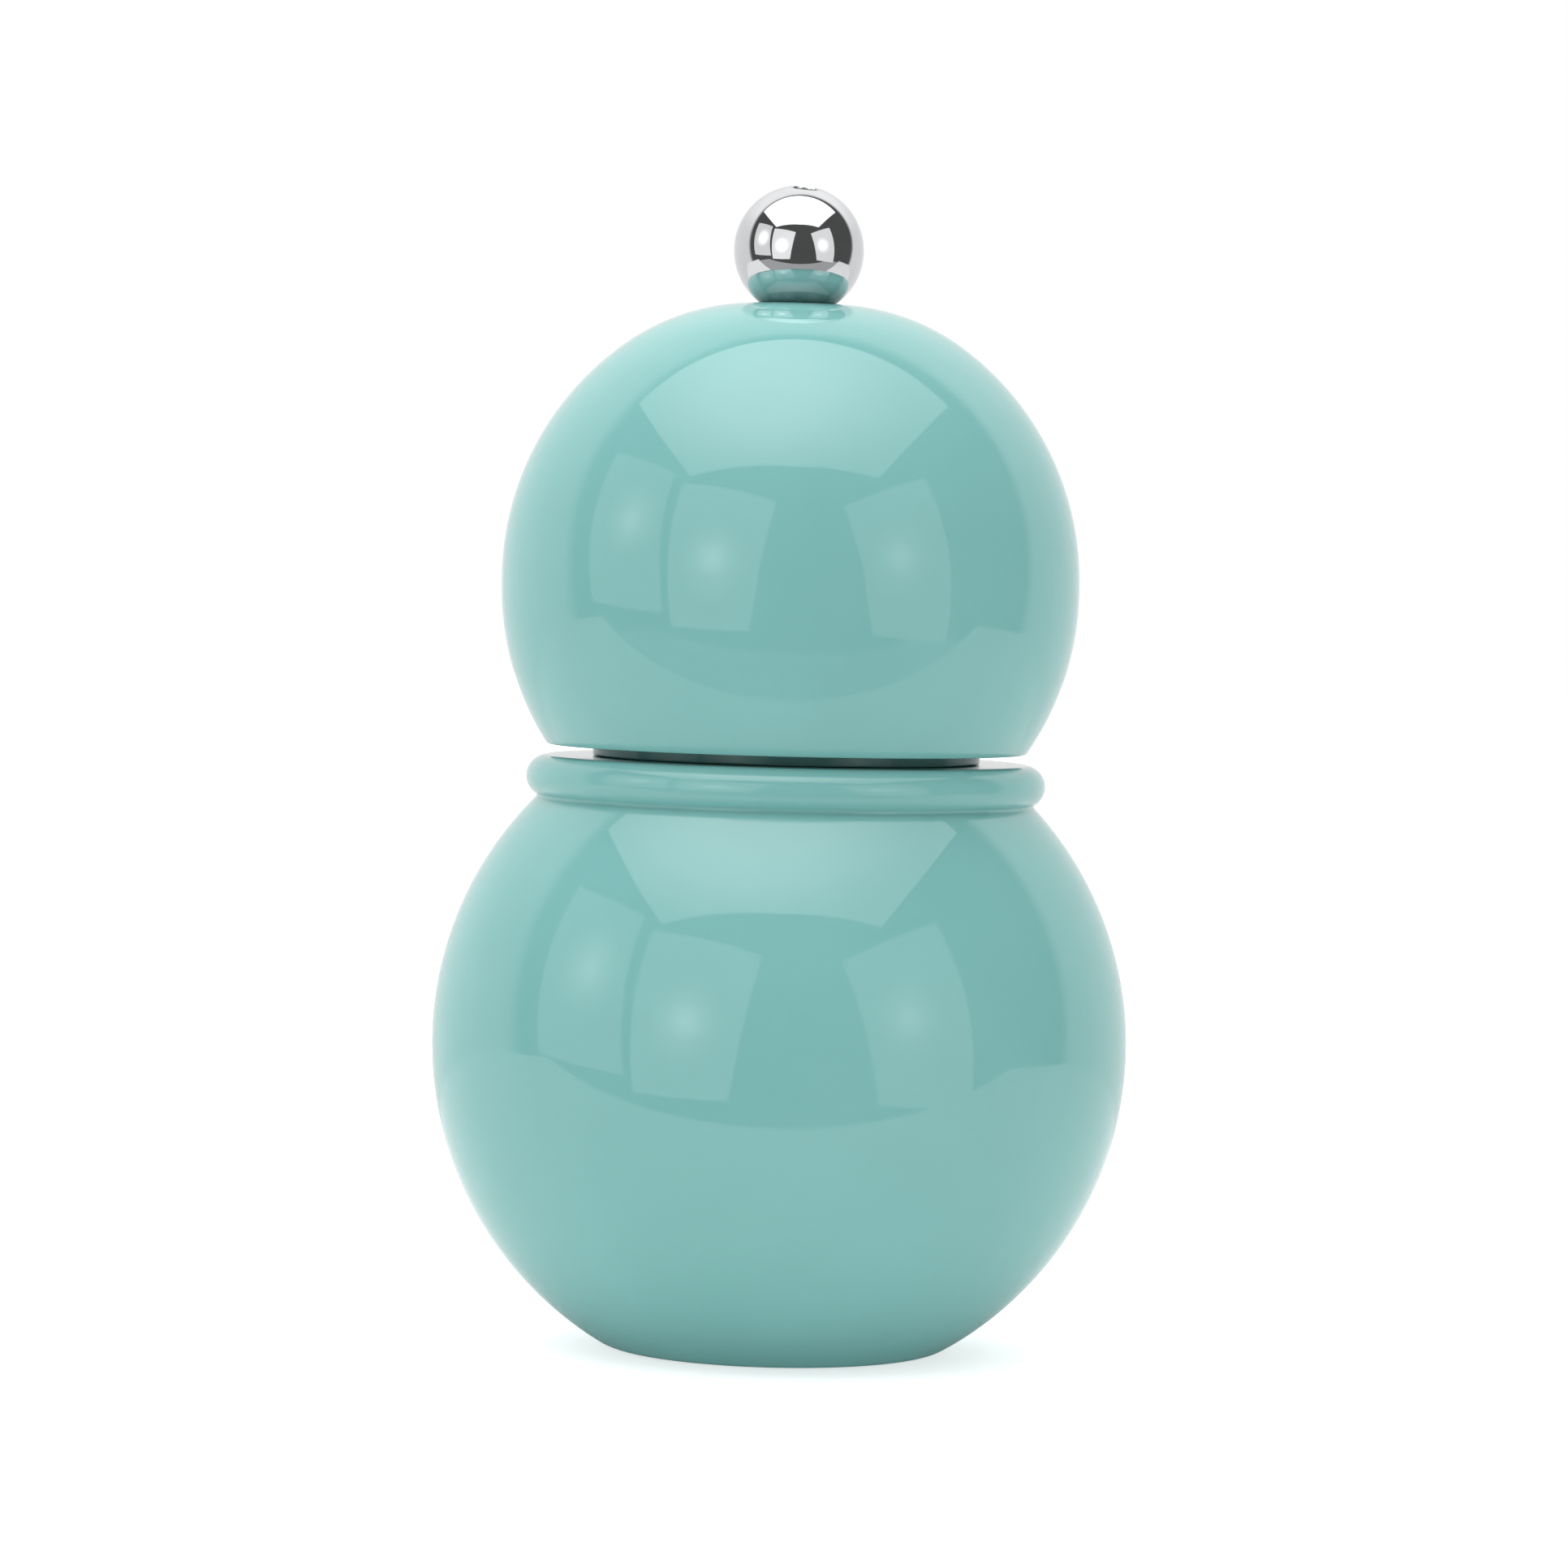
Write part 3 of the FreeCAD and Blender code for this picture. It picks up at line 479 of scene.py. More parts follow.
bar = square_ring(SHAFT_SEGMENTS)
shaft_rings = [
    (round_ring(JOURNAL_RADIUS - SHAFT_CORNER), shaft_low.z),
    (round_ring(JOURNAL_RADIUS), shaft_low.z + SHAFT_CORNER),
    (round_ring(JOURNAL_RADIUS), clip_low.z),
    (round_ring(GROOVE_RADIUS), clip_low.z),
    (round_ring(GROOVE_RADIUS), clip_high.z),
    (bar - SHAFT_CAP, clip_high.z),
    (bar, clip_high.z + SHAFT_CAP),
    (bar, SQUARE_TOP - SHAFT_CAP),
    (bar - SHAFT_CAP, SQUARE_TOP),
    *zip(thread_radii, thread_heights),
    (round_ring(THREAD_RADIUS - SHAFT_TIP), shaft_high.z),
]
shaft_points = ring_stack(
    np.array([ring for ring, level in shaft_rings]), np.array([level for ring, level in shaft_rings])
)
shaft_metal = make_metal(
    "drawn_aluminium",
    ALUMINIUM,
    rough=(0.22, 0.42),
    slow_scale=600.0,
    fine_scale=9000.0,
    stretch=(1.0, 1.0, 0.02),
    depth=0.01 * MILLIMETRE,
)
shaft_piece = grid_piece("threaded_shaft", shaft_points, [shaft_metal], first_pole=True, last_pole=True)
stand_for(shaft_piece, "drive_shaft")

# Carrier and bush: two sleeves turned from natural nylon, each with a square hole. The carrier drives the
# rotor cone, and the bush turns in the housing's hub while the shaft slides through it.

NYLON_NATURAL = ((0.62, 0.60, 0.53), (0.74, 0.72, 0.66))

natural_nylon = make_nylon("natural_nylon", NYLON_NATURAL, rough=(0.34, 0.5))
dress_node("rotor_carrier", natural_nylon)
dress_node("shaft_bush", natural_nylon)

# Thrust spring: drawn spring steel, coiled, with its ends ground flat. It sits between bush and washer, and
# is pressed together as the ball nut draws the rotor up.

SPRING_RADIUS = 3.8 * MILLIMETRE
SPRING_WIRE = 0.6 * MILLIMETRE
SPRING_PITCH = 1.6 * MILLIMETRE
SPRING_STEPS_A_TURN = 72
WIRE_SEGMENTS = 14
SPRING_STEEL = ((0.30, 0.30, 0.31), (0.46, 0.46, 0.47))


def coil(radius, wire, pitch, low, high):
    """Tube round a helix: the wire's circle, level with the radius and the axis, carried up one pitch a turn.

    Heights past low and high are held there, as the ends of a real spring are ground flat.
    """
    turns = (high - low) / pitch
    along = np.linspace(0, turns, int(turns * SPRING_STEPS_A_TURN) + 1)[:, None]
    u = 2 * np.pi * along
    w = np.linspace(0, 2 * np.pi, WIRE_SEGMENTS, endpoint=False)[None, :]
    reach = radius + wire / 2 * np.cos(w)
    height = np.clip(low + pitch * along - wire / 2 * np.sin(w), low, high)
    return np.stack([reach * np.cos(u), reach * np.sin(u), height], axis=-1)


spring_low, spring_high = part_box("thrust_spring")
spring_points = coil(SPRING_RADIUS, SPRING_WIRE, SPRING_PITCH, spring_low.z, spring_high.z)
spring_metal = make_metal(
    "spring_steel",
    SPRING_STEEL,
    rough=(0.25, 0.4),
    slow_scale=500.0,
    fine_scale=6000.0,
    stretch=(1.0, 1.0, 1.0),
    depth=0.005 * MILLIMETRE,
)
spring_piece = grid_piece("coil_spring", spring_points, [spring_metal], first_pole=True, last_pole=True)
stand_for(spring_piece, "thrust_spring")
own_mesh(spring_piece)

# Washer, bridge and driver plate: stamped stainless sheet. The washer lies under the spring, the bridge
# closes the foot, and the driver plate sits under the head's spigot. The clip, of spring steel, snaps into
# the shaft's groove.

SHEET_STEEL = ((0.47, 0.47, 0.46), (0.60, 0.60, 0.59))

sheet_metal = make_metal(
    "stamped_steel",
    SHEET_STEEL,
    rough=(0.24, 0.42),
    slow_scale=300.0,
    fine_scale=5200.0,
    stretch=(0.06, 1.0, 1.0),
    depth=0.012 * MILLIMETRE,
)
for sheet_node in ("retaining_bridge", "driver_plate", "spring_washer"):
    dress_node(sheet_node, sheet_metal)
dress_node("shaft_clip", spring_metal)

# Wood screws: small zinc-plated pan heads with a cross recess, cut with a coarse thread. Three hold bridge
# and housing in the foot, and three hold the driver plate under the head.

SCREW_COUNT = 3
SCREW_HEAD_RADIUS = 1.45 * MILLIMETRE
SCREW_HEAD_HEIGHT = 1.2 * MILLIMETRE
SCREW_HEAD_ROUND = 0.35 * MILLIMETRE
SCREW_LENGTH = 10.0 * MILLIMETRE
SCREW_POINT = 1.8 * MILLIMETRE
SCREW_RADIUS = 0.9 * MILLIMETRE
SCREW_PITCH = 0.85 * MILLIMETRE
SCREW_THREAD_DEPTH = 0.25 * MILLIMETRE
RECESS_LENGTH = 1.8 * MILLIMETRE
RECESS_WIDTH = 0.45 * MILLIMETRE
RECESS_DEPTH = 0.7 * MILLIMETRE
RECESS_SOFTNESS = 0.08 * MILLIMETRE
SCREW_SEGMENTS = 96
SCREW_FACE_ROWS = 36
SCREW_RIM_STEPS = 6
SCREW_SHANK_ROWS = 110
SCREW_END_SHARE = 0.02
ZINC = ((0.50, 0.49, 0.46), (0.66, 0.65, 0.62))


def cross_recess(x, y):
    """Depth of the cross at each point: two bars at right angles, eased over a short way at their edges."""
    def bar_mask(along, across):
        """1 inside a bar, falling to 0 over the softness at its edges."""
        in_length = np.clip((RECESS_LENGTH / 2 - abs(along)) / RECESS_SOFTNESS + 0.5, 0, 1)
        in_width = np.clip((RECESS_WIDTH / 2 - abs(across)) / RECESS_SOFTNESS + 0.5, 0, 1)
        return in_length * in_width
    return RECESS_DEPTH * np.maximum(bar_mask(x, y), bar_mask(y, x))


def screw_points(middle):
    """Screw that points up, its shank starting at a place: face, rim and underside of the head, then thread.

    The face's heights are raised by the cross recess, and the shank's radii follow a right-hand thread that
    thins to the point.
    """
    face_edge = SCREW_HEAD_RADIUS - SCREW_HEAD_ROUND
    face_radius = np.linspace(SCREW_END_SHARE * SCREW_HEAD_RADIUS, face_edge, SCREW_FACE_ROWS)
    face = np.column_stack([face_radius, np.full(SCREW_FACE_ROWS, -SCREW_HEAD_HEIGHT)])
    rim_middle = (face_edge, SCREW_HEAD_ROUND - SCREW_HEAD_HEIGHT)
    rim = arc(rim_middle, SCREW_HEAD_ROUND, -90, 0, SCREW_RIM_STEPS)[1:]
    under = np.array([(SCREW_HEAD_RADIUS, 0.0), (SCREW_RADIUS, 0.0)])
    head = np.concatenate([face, rim, under])
    heights = np.linspace(SCREW_END_SHARE * SCREW_LENGTH, SCREW_LENGTH, SCREW_SHANK_ROWS)
    thinning = np.clip((SCREW_LENGTH - heights) / SCREW_POINT, SCREW_END_SHARE, 1)[:, None]
    shank = thinning * screw_thread(heights, SCREW_SEGMENTS, SCREW_RADIUS, SCREW_THREAD_DEPTH, SCREW_PITCH)
    head_radii = np.repeat(head[:, :1], SCREW_SEGMENTS, axis=1)
    points = ring_stack(np.concatenate([head_radii, shank]), np.concatenate([head[:, 1], heights]))
    points[: len(face), :, 2] += cross_recess(points[: len(face), :, 0], points[: len(face), :, 1])
    return points + np.array(middle)


zinc = make_metal(
    "zinc_plate",
    ZINC,
    rough=(0.26, 0.44),
    slow_scale=900.0,
    fine_scale=5000.0,
    stretch=(1.0, 1.0, 1.0),
    depth=0.008 * MILLIMETRE,
)
for group_name, seat_node in (("bridge_screw", "retaining_bridge"), ("driver_screw", "driver_plate")):
    for number in range(1, SCREW_COUNT + 1):
        screw_low, screw_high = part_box(f"{group_name}_{number}")
        screw_middle = (screw_low + screw_high) / 2
        screw_place = (screw_middle.x, screw_middle.y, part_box(seat_node)[0].z)
        screw_piece = grid_piece(
            f"wood_{group_name}_{number}", screw_points(screw_place), [zinc], first_pole=True, last_pole=True
        )
        stand_for(screw_piece, f"{group_name}_{number}")

# Upper ball: turned from the same beech and lacquered to match, flattened a little on top where the ball nut
# sits. Its spigot is left bare, and a hole runs through it for the shaft.

HEAD_RADIUS = 29.04 * MILLIMETRE
HEAD_CENTRE = 77.0 * MILLIMETRE
HEAD_BAND = 0.8 * MILLIMETRE
HEAD_TOP = 105.15 * MILLIMETRE
HEAD_TOP_ROUND = 22.0 * MILLIMETRE
HEAD_EDGE_ROUND = 0.25 * MILLIMETRE
NECK_GAP = 1.1 * MILLIMETRE
RUBBING_GAP = 0.05 * MILLIMETRE
HEAD_EDGE = NECK_TOP + NECK_GAP
BEARING_RADIUS = 19.5 * MILLIMETRE
BEARING_LEVEL = NECK_TOP + RUBBING_GAP
SPIGOT_RADIUS = 16.8 * MILLIMETRE
SPIGOT_BASE = 55.0 * MILLIMETRE
HEAD_HOLE_RADIUS = 4.0 * MILLIMETRE
HEAD_HOLE_TOP = 75.0 * MILLIMETRE
THREAD_HOLE_RADIUS = 2.4 * MILLIMETRE
HEAD_EDGE_STEPS = 10
HEAD_LOW_STEPS = 44
HEAD_HIGH_STEPS = 64
HEAD_CROWN_STEPS = 40

low_middle = (0.0, HEAD_CENTRE - HEAD_BAND / 2)
high_middle = (0.0, HEAD_CENTRE + HEAD_BAND / 2)
edge_level = HEAD_EDGE + HEAD_EDGE_ROUND
edge_reach = math.sqrt((HEAD_RADIUS - HEAD_EDGE_ROUND) ** 2 - (low_middle[1] - edge_level) ** 2)
edge_middle = (edge_reach, edge_level)
crown_level = HEAD_TOP - HEAD_TOP_ROUND
crown_reach = math.sqrt((HEAD_RADIUS - HEAD_TOP_ROUND) ** 2 - (crown_level - high_middle[1]) ** 2)
crown_middle = (crown_reach, crown_level)
edge_turn = direction(low_middle, edge_middle)
crown_turn = direction(high_middle, crown_middle)
head_outside = np.concatenate([
    rounded([
        (SPIGOT_RADIUS, BEARING_LEVEL),
        (BEARING_RADIUS, BEARING_LEVEL),
        (BEARING_RADIUS, HEAD_EDGE),
        (BEARING_RADIUS + HEAD_EDGE_ROUND, HEAD_EDGE),
    ], WOOD_EDGE),
    arc(edge_middle, HEAD_EDGE_ROUND, -90, edge_turn, HEAD_EDGE_STEPS),
    arc(low_middle, HEAD_RADIUS, edge_turn, 0, HEAD_LOW_STEPS)[1:],
    arc(high_middle, HEAD_RADIUS, 0, crown_turn, HEAD_HIGH_STEPS),
    arc(crown_middle, HEAD_TOP_ROUND, crown_turn, 90, HEAD_CROWN_STEPS)[1:],
    [(THREAD_HOLE_RADIUS + WOOD_EDGE, HEAD_TOP)],
])
head_inside = rounded([
    (THREAD_HOLE_RADIUS + WOOD_EDGE, HEAD_TOP),
    (THREAD_HOLE_RADIUS, HEAD_TOP - WOOD_EDGE),
    (THREAD_HOLE_RADIUS, HEAD_HOLE_TOP),
    (HEAD_HOLE_RADIUS, HEAD_HOLE_TOP),
    (HEAD_HOLE_RADIUS, SPIGOT_BASE),
    (SPIGOT_RADIUS - MOUTH_CHAMFER, SPIGOT_BASE),
    (SPIGOT_RADIUS, SPIGOT_BASE + MOUTH_CHAMFER),
    (SPIGOT_RADIUS, BEARING_LEVEL),
], WOOD_EDGE)
head_profile = np.concatenate([head_outside, head_inside[1:-1]])
head_rows = np.arange(len(head_profile)) >= len(head_outside) - 1
head_piece = grid_piece("turned_head", turned(head_profile), [lacquer, bare_wood], head_rows, closed=True)
stand_for(head_piece, "mill_head")

# Ball nut: turned brass, mirror-polished and chromed, flat underneath, tapped from below. Its pilot hole
# comes out near the crown, a little askew, and is drilled metal without chrome. The nut screws down on the
# shaft and sets how fine the mill grinds.

BALL_RADIUS = 6.53 * MILLIMETRE
BALL_CENTRE = 110.5 * MILLIMETRE
BALL_SEAT = HEAD_TOP + RUBBING_GAP
BALL_HOLE = 1.4 * MILLIMETRE
BALL_LIP = 0.2 * MILLIMETRE
BALL_THREAD_TOP = 113.8 * MILLIMETRE
BALL_THREAD = 2.05 * MILLIMETRE
BALL_SEAT_EDGE = 0.08 * MILLIMETRE
BALL_SEAT_TURN = 0.5
BALL_STEPS = 110
BALL_LIP_STEPS = 10
BALL_SEGMENTS = 160
BALL_HOLE_ROWS = 3
PILOT_LEAN = math.radians(10.5)
PILOT_BEARING = math.radians(-65.0)
DRILLED = ((0.46, 0.45, 0.42), (0.56, 0.55, 0.52))
CHROME = ((0.61, 0.62, 0.63), (0.66, 0.67, 0.68))


def make_chrome():
    """Mirror chrome: nearly even tone, polished almost free of lines, with a trace of haze."""
    material, tree, shader = new_material("mirror_chrome")
    drift = add_drift(tree, slow_scale=220.0, fine_scale=1400.0)
    drive_colour(tree, shader, drift.outputs["Drift"], *CHROME)
    drive_roughness(tree, shader, drift.outputs["Drift"], low=0.02, high=0.05)
    drive_bump(tree, shader, drift.outputs["Height"], depth=0.0004 * MILLIMETRE)
    shader.inputs["Metallic"].default_value = 1.0
    return material


nut_middle = (0.0, BALL_CENTRE)
lip_reach = BALL_HOLE + BALL_LIP
lip_level = BALL_CENTRE + math.sqrt((BALL_RADIUS - BALL_LIP) ** 2 - lip_reach**2)
lip_middle = (lip_reach, lip_level)
seat_reach = math.sqrt(BALL_RADIUS**2 - (BALL_CENTRE - BALL_SEAT) ** 2)
seat_turn = direction(nut_middle, (seat_reach, BALL_SEAT))
lip_turn = direction(nut_middle, lip_middle)
ball_arc = arc(nut_middle, BALL_RADIUS, seat_turn + BALL_SEAT_TURN, lip_turn, BALL_STEPS)
lip_arc = arc(lip_middle, BALL_LIP, lip_turn, 180, BALL_LIP_STEPS)[1:]
knob_profile = np.concatenate([
    [(BALL_THREAD, BALL_SEAT), (seat_reach - BALL_SEAT_EDGE, BALL_SEAT)],
    ball_arc,
    lip_arc,
    [(BALL_HOLE, BALL_THREAD_TOP), (BALL_THREAD, BALL_THREAD_TOP)],
])
lean_share = np.concatenate([
    [0, 0],
    np.linspace(0, 1, len(ball_arc)),
    np.ones(len(lip_arc)),
    [1, 0],
])


def leaning_rings(points, middle, share):
    """Each ring turned about the ball's middle by its share of the pilot hole's lean.

    The turn carries the axis over towards the bearing: a share of the lean about the level line square to it.
    """
    turn = share[:, None] * PILOT_LEAN
    towards = np.array([math.cos(PILOT_BEARING), math.sin(PILOT_BEARING), 0.0])
    place = points - middle
    along = place @ towards
    height = place[..., 2]
    lean_along = along * np.cos(turn) + height * np.sin(turn)
    lean_height = height * np.cos(turn) - along * np.sin(turn)
    leaning = points + (lean_along - along)[..., None] * towards
    leaning[..., 2] = middle[2] + lean_height
    return leaning


knob_rings = turned(knob_profile, BALL_SEGMENTS)
knob_points = leaning_rings(knob_rings, np.array([0.0, 0.0, BALL_CENTRE]), lean_share)
drilled = make_metal(
    "drilled_brass",
    DRILLED,
    rough=(0.4, 0.55),
    slow_scale=400.0,
    fine_scale=3000.0,
    stretch=(1.0, 1.0, 0.3),
    depth=0.01 * MILLIMETRE,
)
knob_rows = np.arange(len(knob_profile)) >= len(knob_profile) - BALL_HOLE_ROWS
knob_piece = grid_piece("chromed_ball_nut", knob_points, [make_chrome(), drilled], knob_rows, closed=True)
stand_for(knob_piece, "ball_knob")

# Studio: a white table and cove, a dark room in front of the mill, a large softbox overhead and three
# window-shaped panels on the camera's side. The camera sees only the table and the white world. A white sheet
# round the foot and a grey floor are there for reflections alone, and a white card for matt light alone.

TABLE_REACH = 3.0
TABLE_LEVEL = -0.05 * MILLIMETRE
SHEET_LEVEL = -0.03 * MILLIMETRE
SHEET_SIDES = (-0.45, 0.45)
SHEET_DEPTH = (-0.095, 0.15)
TABLE_COLOUR = (0.68, 0.68, 0.68)
TABLE_WHITE = 0.62
TABLE_FILL = 0.36
FLOOR_LEVEL = -0.7
FLOOR_EDGE = -1.66
FLOOR_LIGHT = 0.5
ROOM_RADIUS = 3.0
ROOM_AXIS = Vector((0.095, -0.975, 0.200)).normalized()
ROOM_DARK = 0.10
ROOM_POLE = 0.5
ROOM_RINGS = 90
ROOM_SEGMENTS = 96
COVE_LIGHT = 0.82
COVE_EDGE = (-0.145, -0.285)
COVE_TOP_LIGHT = 0.3
COVE_TOP = (0.25, 0.75)
COVE_FILL = 1.75
SOFTBOX_LEVEL = 1.075
SOFTBOX_CORNERS = [(-0.90, 0.35), (-1.01, -0.88), (0.0, -0.99), (0.81, -0.94), (0.86, 0.36)]
SOFTBOX_LAMP = Vector((-0.15, -0.25, SOFTBOX_LEVEL))
SOFTBOX_LIGHT = (3.75, 1.55)
SOFTBOX_FALL = (0.1, 1.0)
WINDOW_DISTANCE = 1.2
WINDOW_GLOW_REACH = 0.34
WINDOW_GLOW_POWER = 2.0
WINDOW_FILL = 0.25
SKY_ON_OBJECT = 0.9
REFLECTING_POINT = Vector((0.0, 0.0, 0.075))
CARD_CORNERS = [(88, 55), (150, 55), (150, -5), (88, -5)]
CARD_LIGHT = 1.0
WINDOWS = {
    "window_far_left": {
        "corners": [(-94, 35), (-57, 37), (-51, -9), (-84, -5)],
        "glow_at": (-69, 18.5),
        "light": 0.98,
        "glow": 2.3,
    },
    "window_near_left": {
        "corners": [(-51, 34), (-7, 31), (-16, -16), (-48, -14)],
        "glow_at": (-31, 8),
        "light": 1.2,
        "glow": 2.8,
    },
    "window_right": {
        "corners": [(22, 29), (64, 36), (66, -16), (33, -16)],
        "glow_at": (43, 9.5),
        "light": 1.05,
        "glow": 1.8,
    },
}


def stage_mesh(name, vertices, faces, material, camera=False, glossy=True, diffuse=True):
    """Studio mesh that isn't part of the mill, with the kinds of ray that meet it."""
    mesh = bpy.data.meshes.new(name)
    mesh.from_pydata([tuple(vertex) for vertex in vertices], [], faces)
    mesh.materials.append(material)
    piece = bpy.data.objects.new(name, mesh)
    bpy.context.scene.collection.objects.link(piece)
    piece.visible_camera = camera
    piece.visible_glossy = glossy
    piece.visible_diffuse = diffuse
    piece.visible_transmission = glossy
    piece.visible_shadow = camera


def bearing(azimuth, elevation):
    """Direction from the mill: azimuth in degrees from the camera's side to +X, elevation above level."""
    a = math.radians(azimuth)
    e = math.radians(elevation)
    return Vector((math.sin(a) * math.cos(e), -math.cos(a) * math.cos(e), math.sin(e)))


def emission_material(name, strength=1.0):
    """Material that shines evenly, its node tree and its emission node."""
    material = bpy.data.materials.new(name)
    material.use_nodes = True
    tree = material.node_tree
    tree.nodes.clear()
    emission = add_node(tree, "ShaderNodeEmission", Strength=strength)
    output = add_node(tree, "ShaderNodeOutputMaterial")
    tree.links.new(emission.outputs[0], output.inputs["Surface"])
    return material, tree, emission


def make_table():
    """White table: a matt white that keeps the mill's shadow, lifted to white for the camera.

    It also throws a little more light back at the mill, as the white sweep round it would.
    """
    material, tree, emission = emission_material("white_table")
    output = next(node for node in tree.nodes if node.type == "OUTPUT_MATERIAL")
    matt = add_node(tree, "ShaderNodeBsdfDiffuse", Color=(*TABLE_COLOUR, 1))
    both = add_node(tree, "ShaderNodeAddShader")
    rays = add_node(tree, "ShaderNodeLightPath")
    lift = add_node(tree, "ShaderNodeMath", {"operation": "MULTIPLY"})
    lift.inputs[1].default_value = TABLE_WHITE
    fill = add_node(tree, "ShaderNodeMath", {"operation": "MULTIPLY_ADD"})
    fill.inputs[1].default_value = TABLE_FILL
    tree.links.new(rays.outputs["Is Camera Ray"], lift.inputs[0])
    tree.links.new(rays.outputs["Is Diffuse Ray"], fill.inputs[0])
    tree.links.new(lift.outputs[0], fill.inputs[2])
    tree.links.new(fill.outputs[0], emission.inputs["Strength"])
    tree.links.new(matt.outputs[0], both.inputs[0])
    tree.links.new(emission.outputs[0], both.inputs[1])
    tree.links.new(both.outputs[0], output.inputs["Surface"])
    return material


def make_room():
    """Surround: dim grey in front of the mill, brightening past its sides to the white cove behind.

    Its top is brighter, and matt surfaces get a little more of its light than polished ones show.
    """
    material, tree, emission = emission_material("room_and_cove")
    place = add_node(tree, "ShaderNodeTexCoord")
    level = add_node(tree, "ShaderNodeVectorMath", {"operation": "DOT_PRODUCT"})
    level.inputs[1].default_value = ROOM_AXIS / ROOM_RADIUS
    parts = add_node(tree, "ShaderNodeSeparateXYZ")
    cove = add_node(
        tree,
        "ShaderNodeMapRange",
        {"interpolation_type": "SMOOTHSTEP"},
        From_Min=COVE_EDGE[0],
        From_Max=COVE_EDGE[1],
    )
    top = add_node(
        tree,
        "ShaderNodeMapRange",
        {"interpolation_type": "SMOOTHSTEP"},
        From_Min=COVE_TOP[0] * ROOM_RADIUS,
        From_Max=COVE_TOP[1] * ROOM_RADIUS,
        To_Min=COVE_LIGHT,
        To_Max=COVE_LIGHT + COVE_TOP_LIGHT,
    )
    shone = add_node(tree, "ShaderNodeMath", {"operation": "MULTIPLY_ADD"})
    shone.inputs[2].default_value = ROOM_DARK
    rays = add_node(tree, "ShaderNodeLightPath")
    fill = add_node(tree, "ShaderNodeMapRange", To_Min=1.0, To_Max=COVE_FILL)
    strength = add_node(tree, "ShaderNodeMath", {"operation": "MULTIPLY"})
    link = tree.links.new
    link(place.outputs["Object"], level.inputs[0])
    link(place.outputs["Object"], parts.inputs[0])
    link(level.outputs["Value"], cove.inputs["Value"])
    link(parts.outputs["Z"], top.inputs["Value"])
    link(cove.outputs["Result"], shone.inputs[0])
    link(top.outputs["Result"], shone.inputs[1])
    link(rays.outputs["Is Diffuse Ray"], fill.inputs["Value"])
    link(shone.outputs[0], strength.inputs[0])
    link(fill.outputs["Result"], strength.inputs[1])
    link(strength.outputs[0], emission.inputs["Strength"])
    return material


def make_window(name, glow_place, light, glow):
    """Window panel: even light, and a glow round the lamp behind it, of the square of the nearness to it.

    The nearness runs from 1 at the lamp to 0 at the glow's reach. Matt surfaces get a weaker light from it.
    """
    material, tree, emission = emission_material(name)
    place = add_node(tree, "ShaderNodeTexCoord")
    away = add_node(tree, "ShaderNodeVectorMath", {"operation": "DISTANCE"})
    away.inputs[1].default_value = glow_place
    near = add_node(tree, "ShaderNodeMapRange", From_Max=WINDOW_GLOW_REACH, To_Min=1.0, To_Max=0.0)
    fall = add_node(tree, "ShaderNodeMath", {"operation": "POWER"})
    fall.inputs[1].default_value = WINDOW_GLOW_POWER
    shone = add_node(tree, "ShaderNodeMath", {"operation": "MULTIPLY_ADD"})
    shone.inputs[1].default_value = glow
    shone.inputs[2].default_value = light
    rays = add_node(tree, "ShaderNodeLightPath")
    fill = add_node(tree, "ShaderNodeMapRange", To_Min=1.0, To_Max=WINDOW_FILL)
    strength = add_node(tree, "ShaderNodeMath", {"operation": "MULTIPLY"})
    link = tree.links.new
    link(place.outputs["Object"], away.inputs[0])
    link(away.outputs["Value"], near.inputs["Value"])
    link(near.outputs["Result"], fall.inputs[0])
    link(fall.outputs[0], shone.inputs[0])
    link(rays.outputs["Is Diffuse Ray"], fill.inputs["Value"])
    link(shone.outputs[0], strength.inputs[0])
    link(fill.outputs["Result"], strength.inputs[1])
    link(strength.outputs[0], emission.inputs["Strength"])
    return material


def make_softbox():
    """Softbox cloth: brightest below its lamp, eased down with the distance from it."""
    material, tree, emission = emission_material("softbox_cloth")
    place = add_node(tree, "ShaderNodeTexCoord")
    away = add_node(tree, "ShaderNodeVectorMath", {"operation": "DISTANCE"})
    away.inputs[1].default_value = SOFTBOX_LAMP
    fall = add_node(
        tree,
        "ShaderNodeMapRange",
        {"interpolation_type": "SMOOTHSTEP"},
        From_Min=SOFTBOX_FALL[0],
        From_Max=SOFTBOX_FALL[1],
        To_Min=SOFTBOX_LIGHT[0],
        To_Max=SOFTBOX_LIGHT[1],
    )
    tree.links.new(place.outputs["Object"], away.inputs[0])
    tree.links.new(away.outputs["Value"], fall.inputs["Value"])
    tree.links.new(fall.outputs["Result"], emission.inputs["Strength"])
    return material


def flat_sheet(name, x_range, y_range, level, material, **seen):
    """Level rectangle over a range of x and a range of y, with the kinds of ray that meet it."""
    corners = [(x, y, level) for x, y in (
        (x_range[0], y_range[0]), (x_range[1], y_range[0]), (x_range[1], y_range[1]), (x_range[0], y_range[1])
    )]
    stage_mesh(name, corners, [(0, 1, 2, 3)], material, **seen)


table_finish = make_table()
across = (-TABLE_REACH, TABLE_REACH)
flat_sheet("table", across, across, TABLE_LEVEL, table_finish, camera=True, glossy=False)
flat_sheet("white_sheet", SHEET_SIDES, SHEET_DEPTH, SHEET_LEVEL, table_finish, diffuse=False)
floor_finish = emission_material("grey_floor", FLOOR_LIGHT)[0]
flat_sheet("room_floor", across, (FLOOR_EDGE, 0.0), FLOOR_LEVEL, floor_finish, diffuse=False)

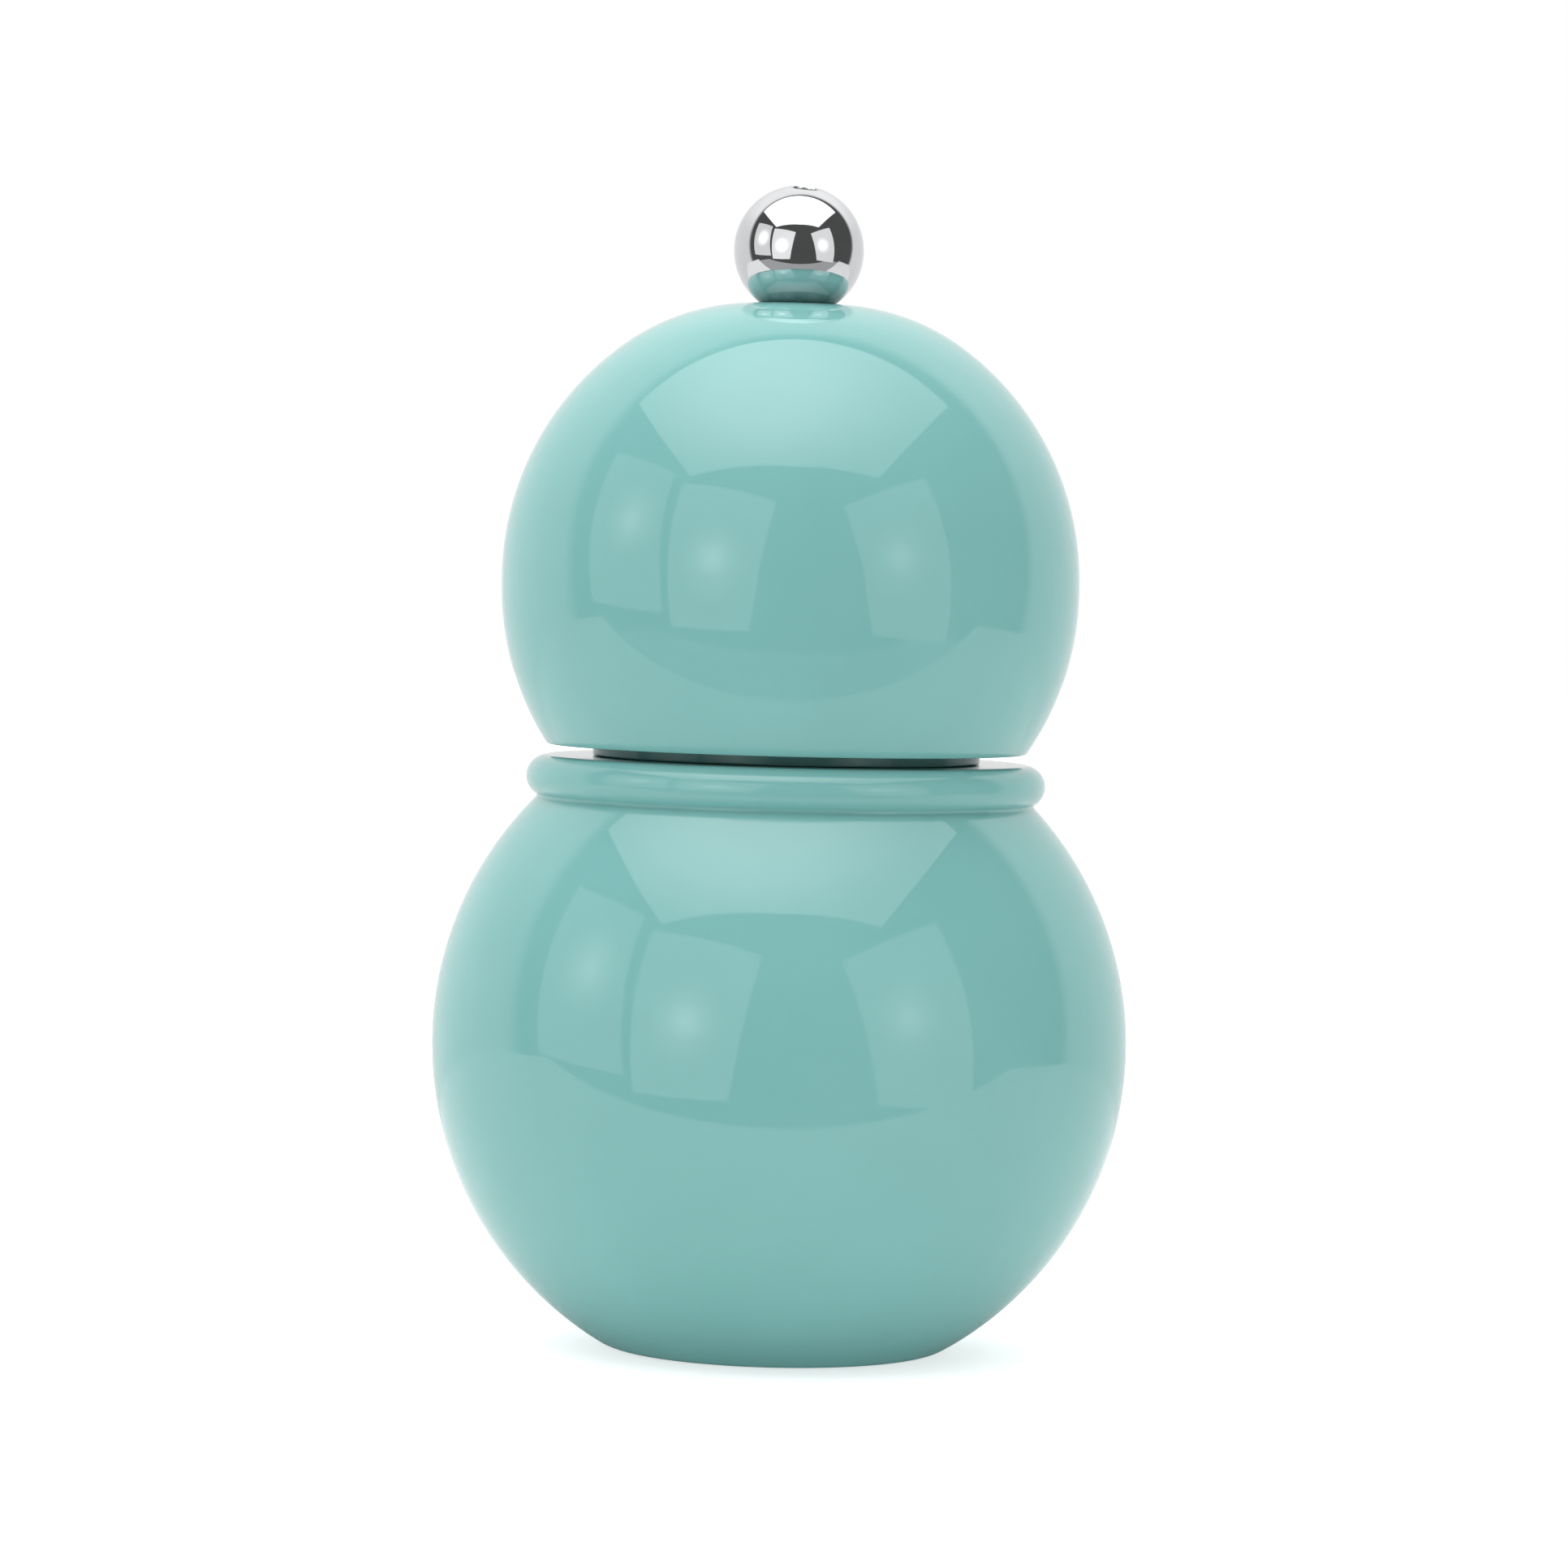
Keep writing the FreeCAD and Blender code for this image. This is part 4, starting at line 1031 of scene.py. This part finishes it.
softbox_corners = [(x, y, SOFTBOX_LEVEL) for x, y in SOFTBOX_CORNERS]
stage_mesh("softbox", softbox_corners, [range(len(softbox_corners))], make_softbox())

for window_name, window in WINDOWS.items():
    glow_direction = bearing(*window["glow_at"])
    ways = [bearing(*corner) for corner in window["corners"]]
    panel = [REFLECTING_POINT + way * (WINDOW_DISTANCE / way.dot(glow_direction)) for way in ways]
    glow_point = REFLECTING_POINT + glow_direction * WINDOW_DISTANCE
    window_finish = make_window(window_name, glow_point, window["light"], window["glow"])
    stage_mesh(window_name, panel, [(0, 1, 2, 3)], window_finish)

card_finish = emission_material("white_card", CARD_LIGHT)[0]
card_panel = [REFLECTING_POINT + bearing(*corner) * WINDOW_DISTANCE for corner in CARD_CORNERS]
stage_mesh("white_card", card_panel, [(0, 1, 2, 3)], card_finish, glossy=False)

room_turn = Vector((0, 0, 1)).rotation_difference(ROOM_AXIS).to_matrix()
room_rings = np.radians(np.linspace(ROOM_POLE, 180 - ROOM_POLE, ROOM_RINGS))[:, None]
room_round = np.linspace(0, 2 * np.pi, ROOM_SEGMENTS, endpoint=False)[None, :]
room_cap = np.stack([
    np.sin(room_rings) * np.cos(room_round),
    np.sin(room_rings) * np.sin(room_round),
    np.broadcast_to(np.cos(room_rings), (ROOM_RINGS, ROOM_SEGMENTS)),
], axis=-1) @ np.array(room_turn).T
room = grid_piece("surround", room_cap * ROOM_RADIUS, [make_room()], first_pole=True, last_pole=True)
room.visible_camera = False
room.visible_shadow = False
room.visible_transmission = False

world = bpy.data.worlds.new("white_cove")
bpy.context.scene.world = world
world.use_nodes = True
sky = world.node_tree
sky_light = next(node for node in sky.nodes if node.type == "BACKGROUND")
sky_light.inputs["Color"].default_value = (1, 1, 1, 1)
sky_rays = add_node(sky, "ShaderNodeLightPath")
seen_rays = add_node(sky, "ShaderNodeMath", {"operation": "MAXIMUM"})
seen_through = add_node(sky, "ShaderNodeMath", {"operation": "MAXIMUM"})
sky_level = add_node(sky, "ShaderNodeMapRange", To_Min=SKY_ON_OBJECT, To_Max=1.0)
sky.links.new(sky_rays.outputs["Is Camera Ray"], seen_rays.inputs[0])
sky.links.new(sky_rays.outputs["Is Glossy Ray"], seen_rays.inputs[1])
sky.links.new(seen_rays.outputs[0], seen_through.inputs[0])
sky.links.new(sky_rays.outputs["Is Transmission Ray"], seen_through.inputs[1])
sky.links.new(seen_through.outputs[0], sky_level.inputs["Value"])
sky.links.new(sky_level.outputs["Result"], sky_light.inputs["Strength"])

# Camera: a long lens just above the neck's height, looking down a little, and rolled as the photograph is.

CAMERA_PLACE = Vector((-0.00016, -0.600, 0.081))
CAMERA_PITCH = 2.30
CAMERA_ROLL = 1.435
CAMERA_LENS = 136.83
CAMERA_SENSOR = 36.0
CAMERA_CLIP = (0.05, 20.0)

camera_data = bpy.data.cameras.new("camera")
camera_data.lens = CAMERA_LENS
camera_data.sensor_width = CAMERA_SENSOR
camera_data.sensor_fit = "HORIZONTAL"
camera_data.clip_start = CAMERA_CLIP[0]
camera_data.clip_end = CAMERA_CLIP[1]
camera = bpy.data.objects.new("camera", camera_data)
tilt = Matrix.Rotation(math.radians(90 - CAMERA_PITCH), 4, "X")
roll = Matrix.Rotation(math.radians(CAMERA_ROLL), 4, "Z")
camera.matrix_world = Matrix.Translation(CAMERA_PLACE) @ tilt @ roll
bpy.context.scene.collection.objects.link(camera)
bpy.context.scene.camera = camera
bpy.context.scene.view_settings.view_transform = "Standard"
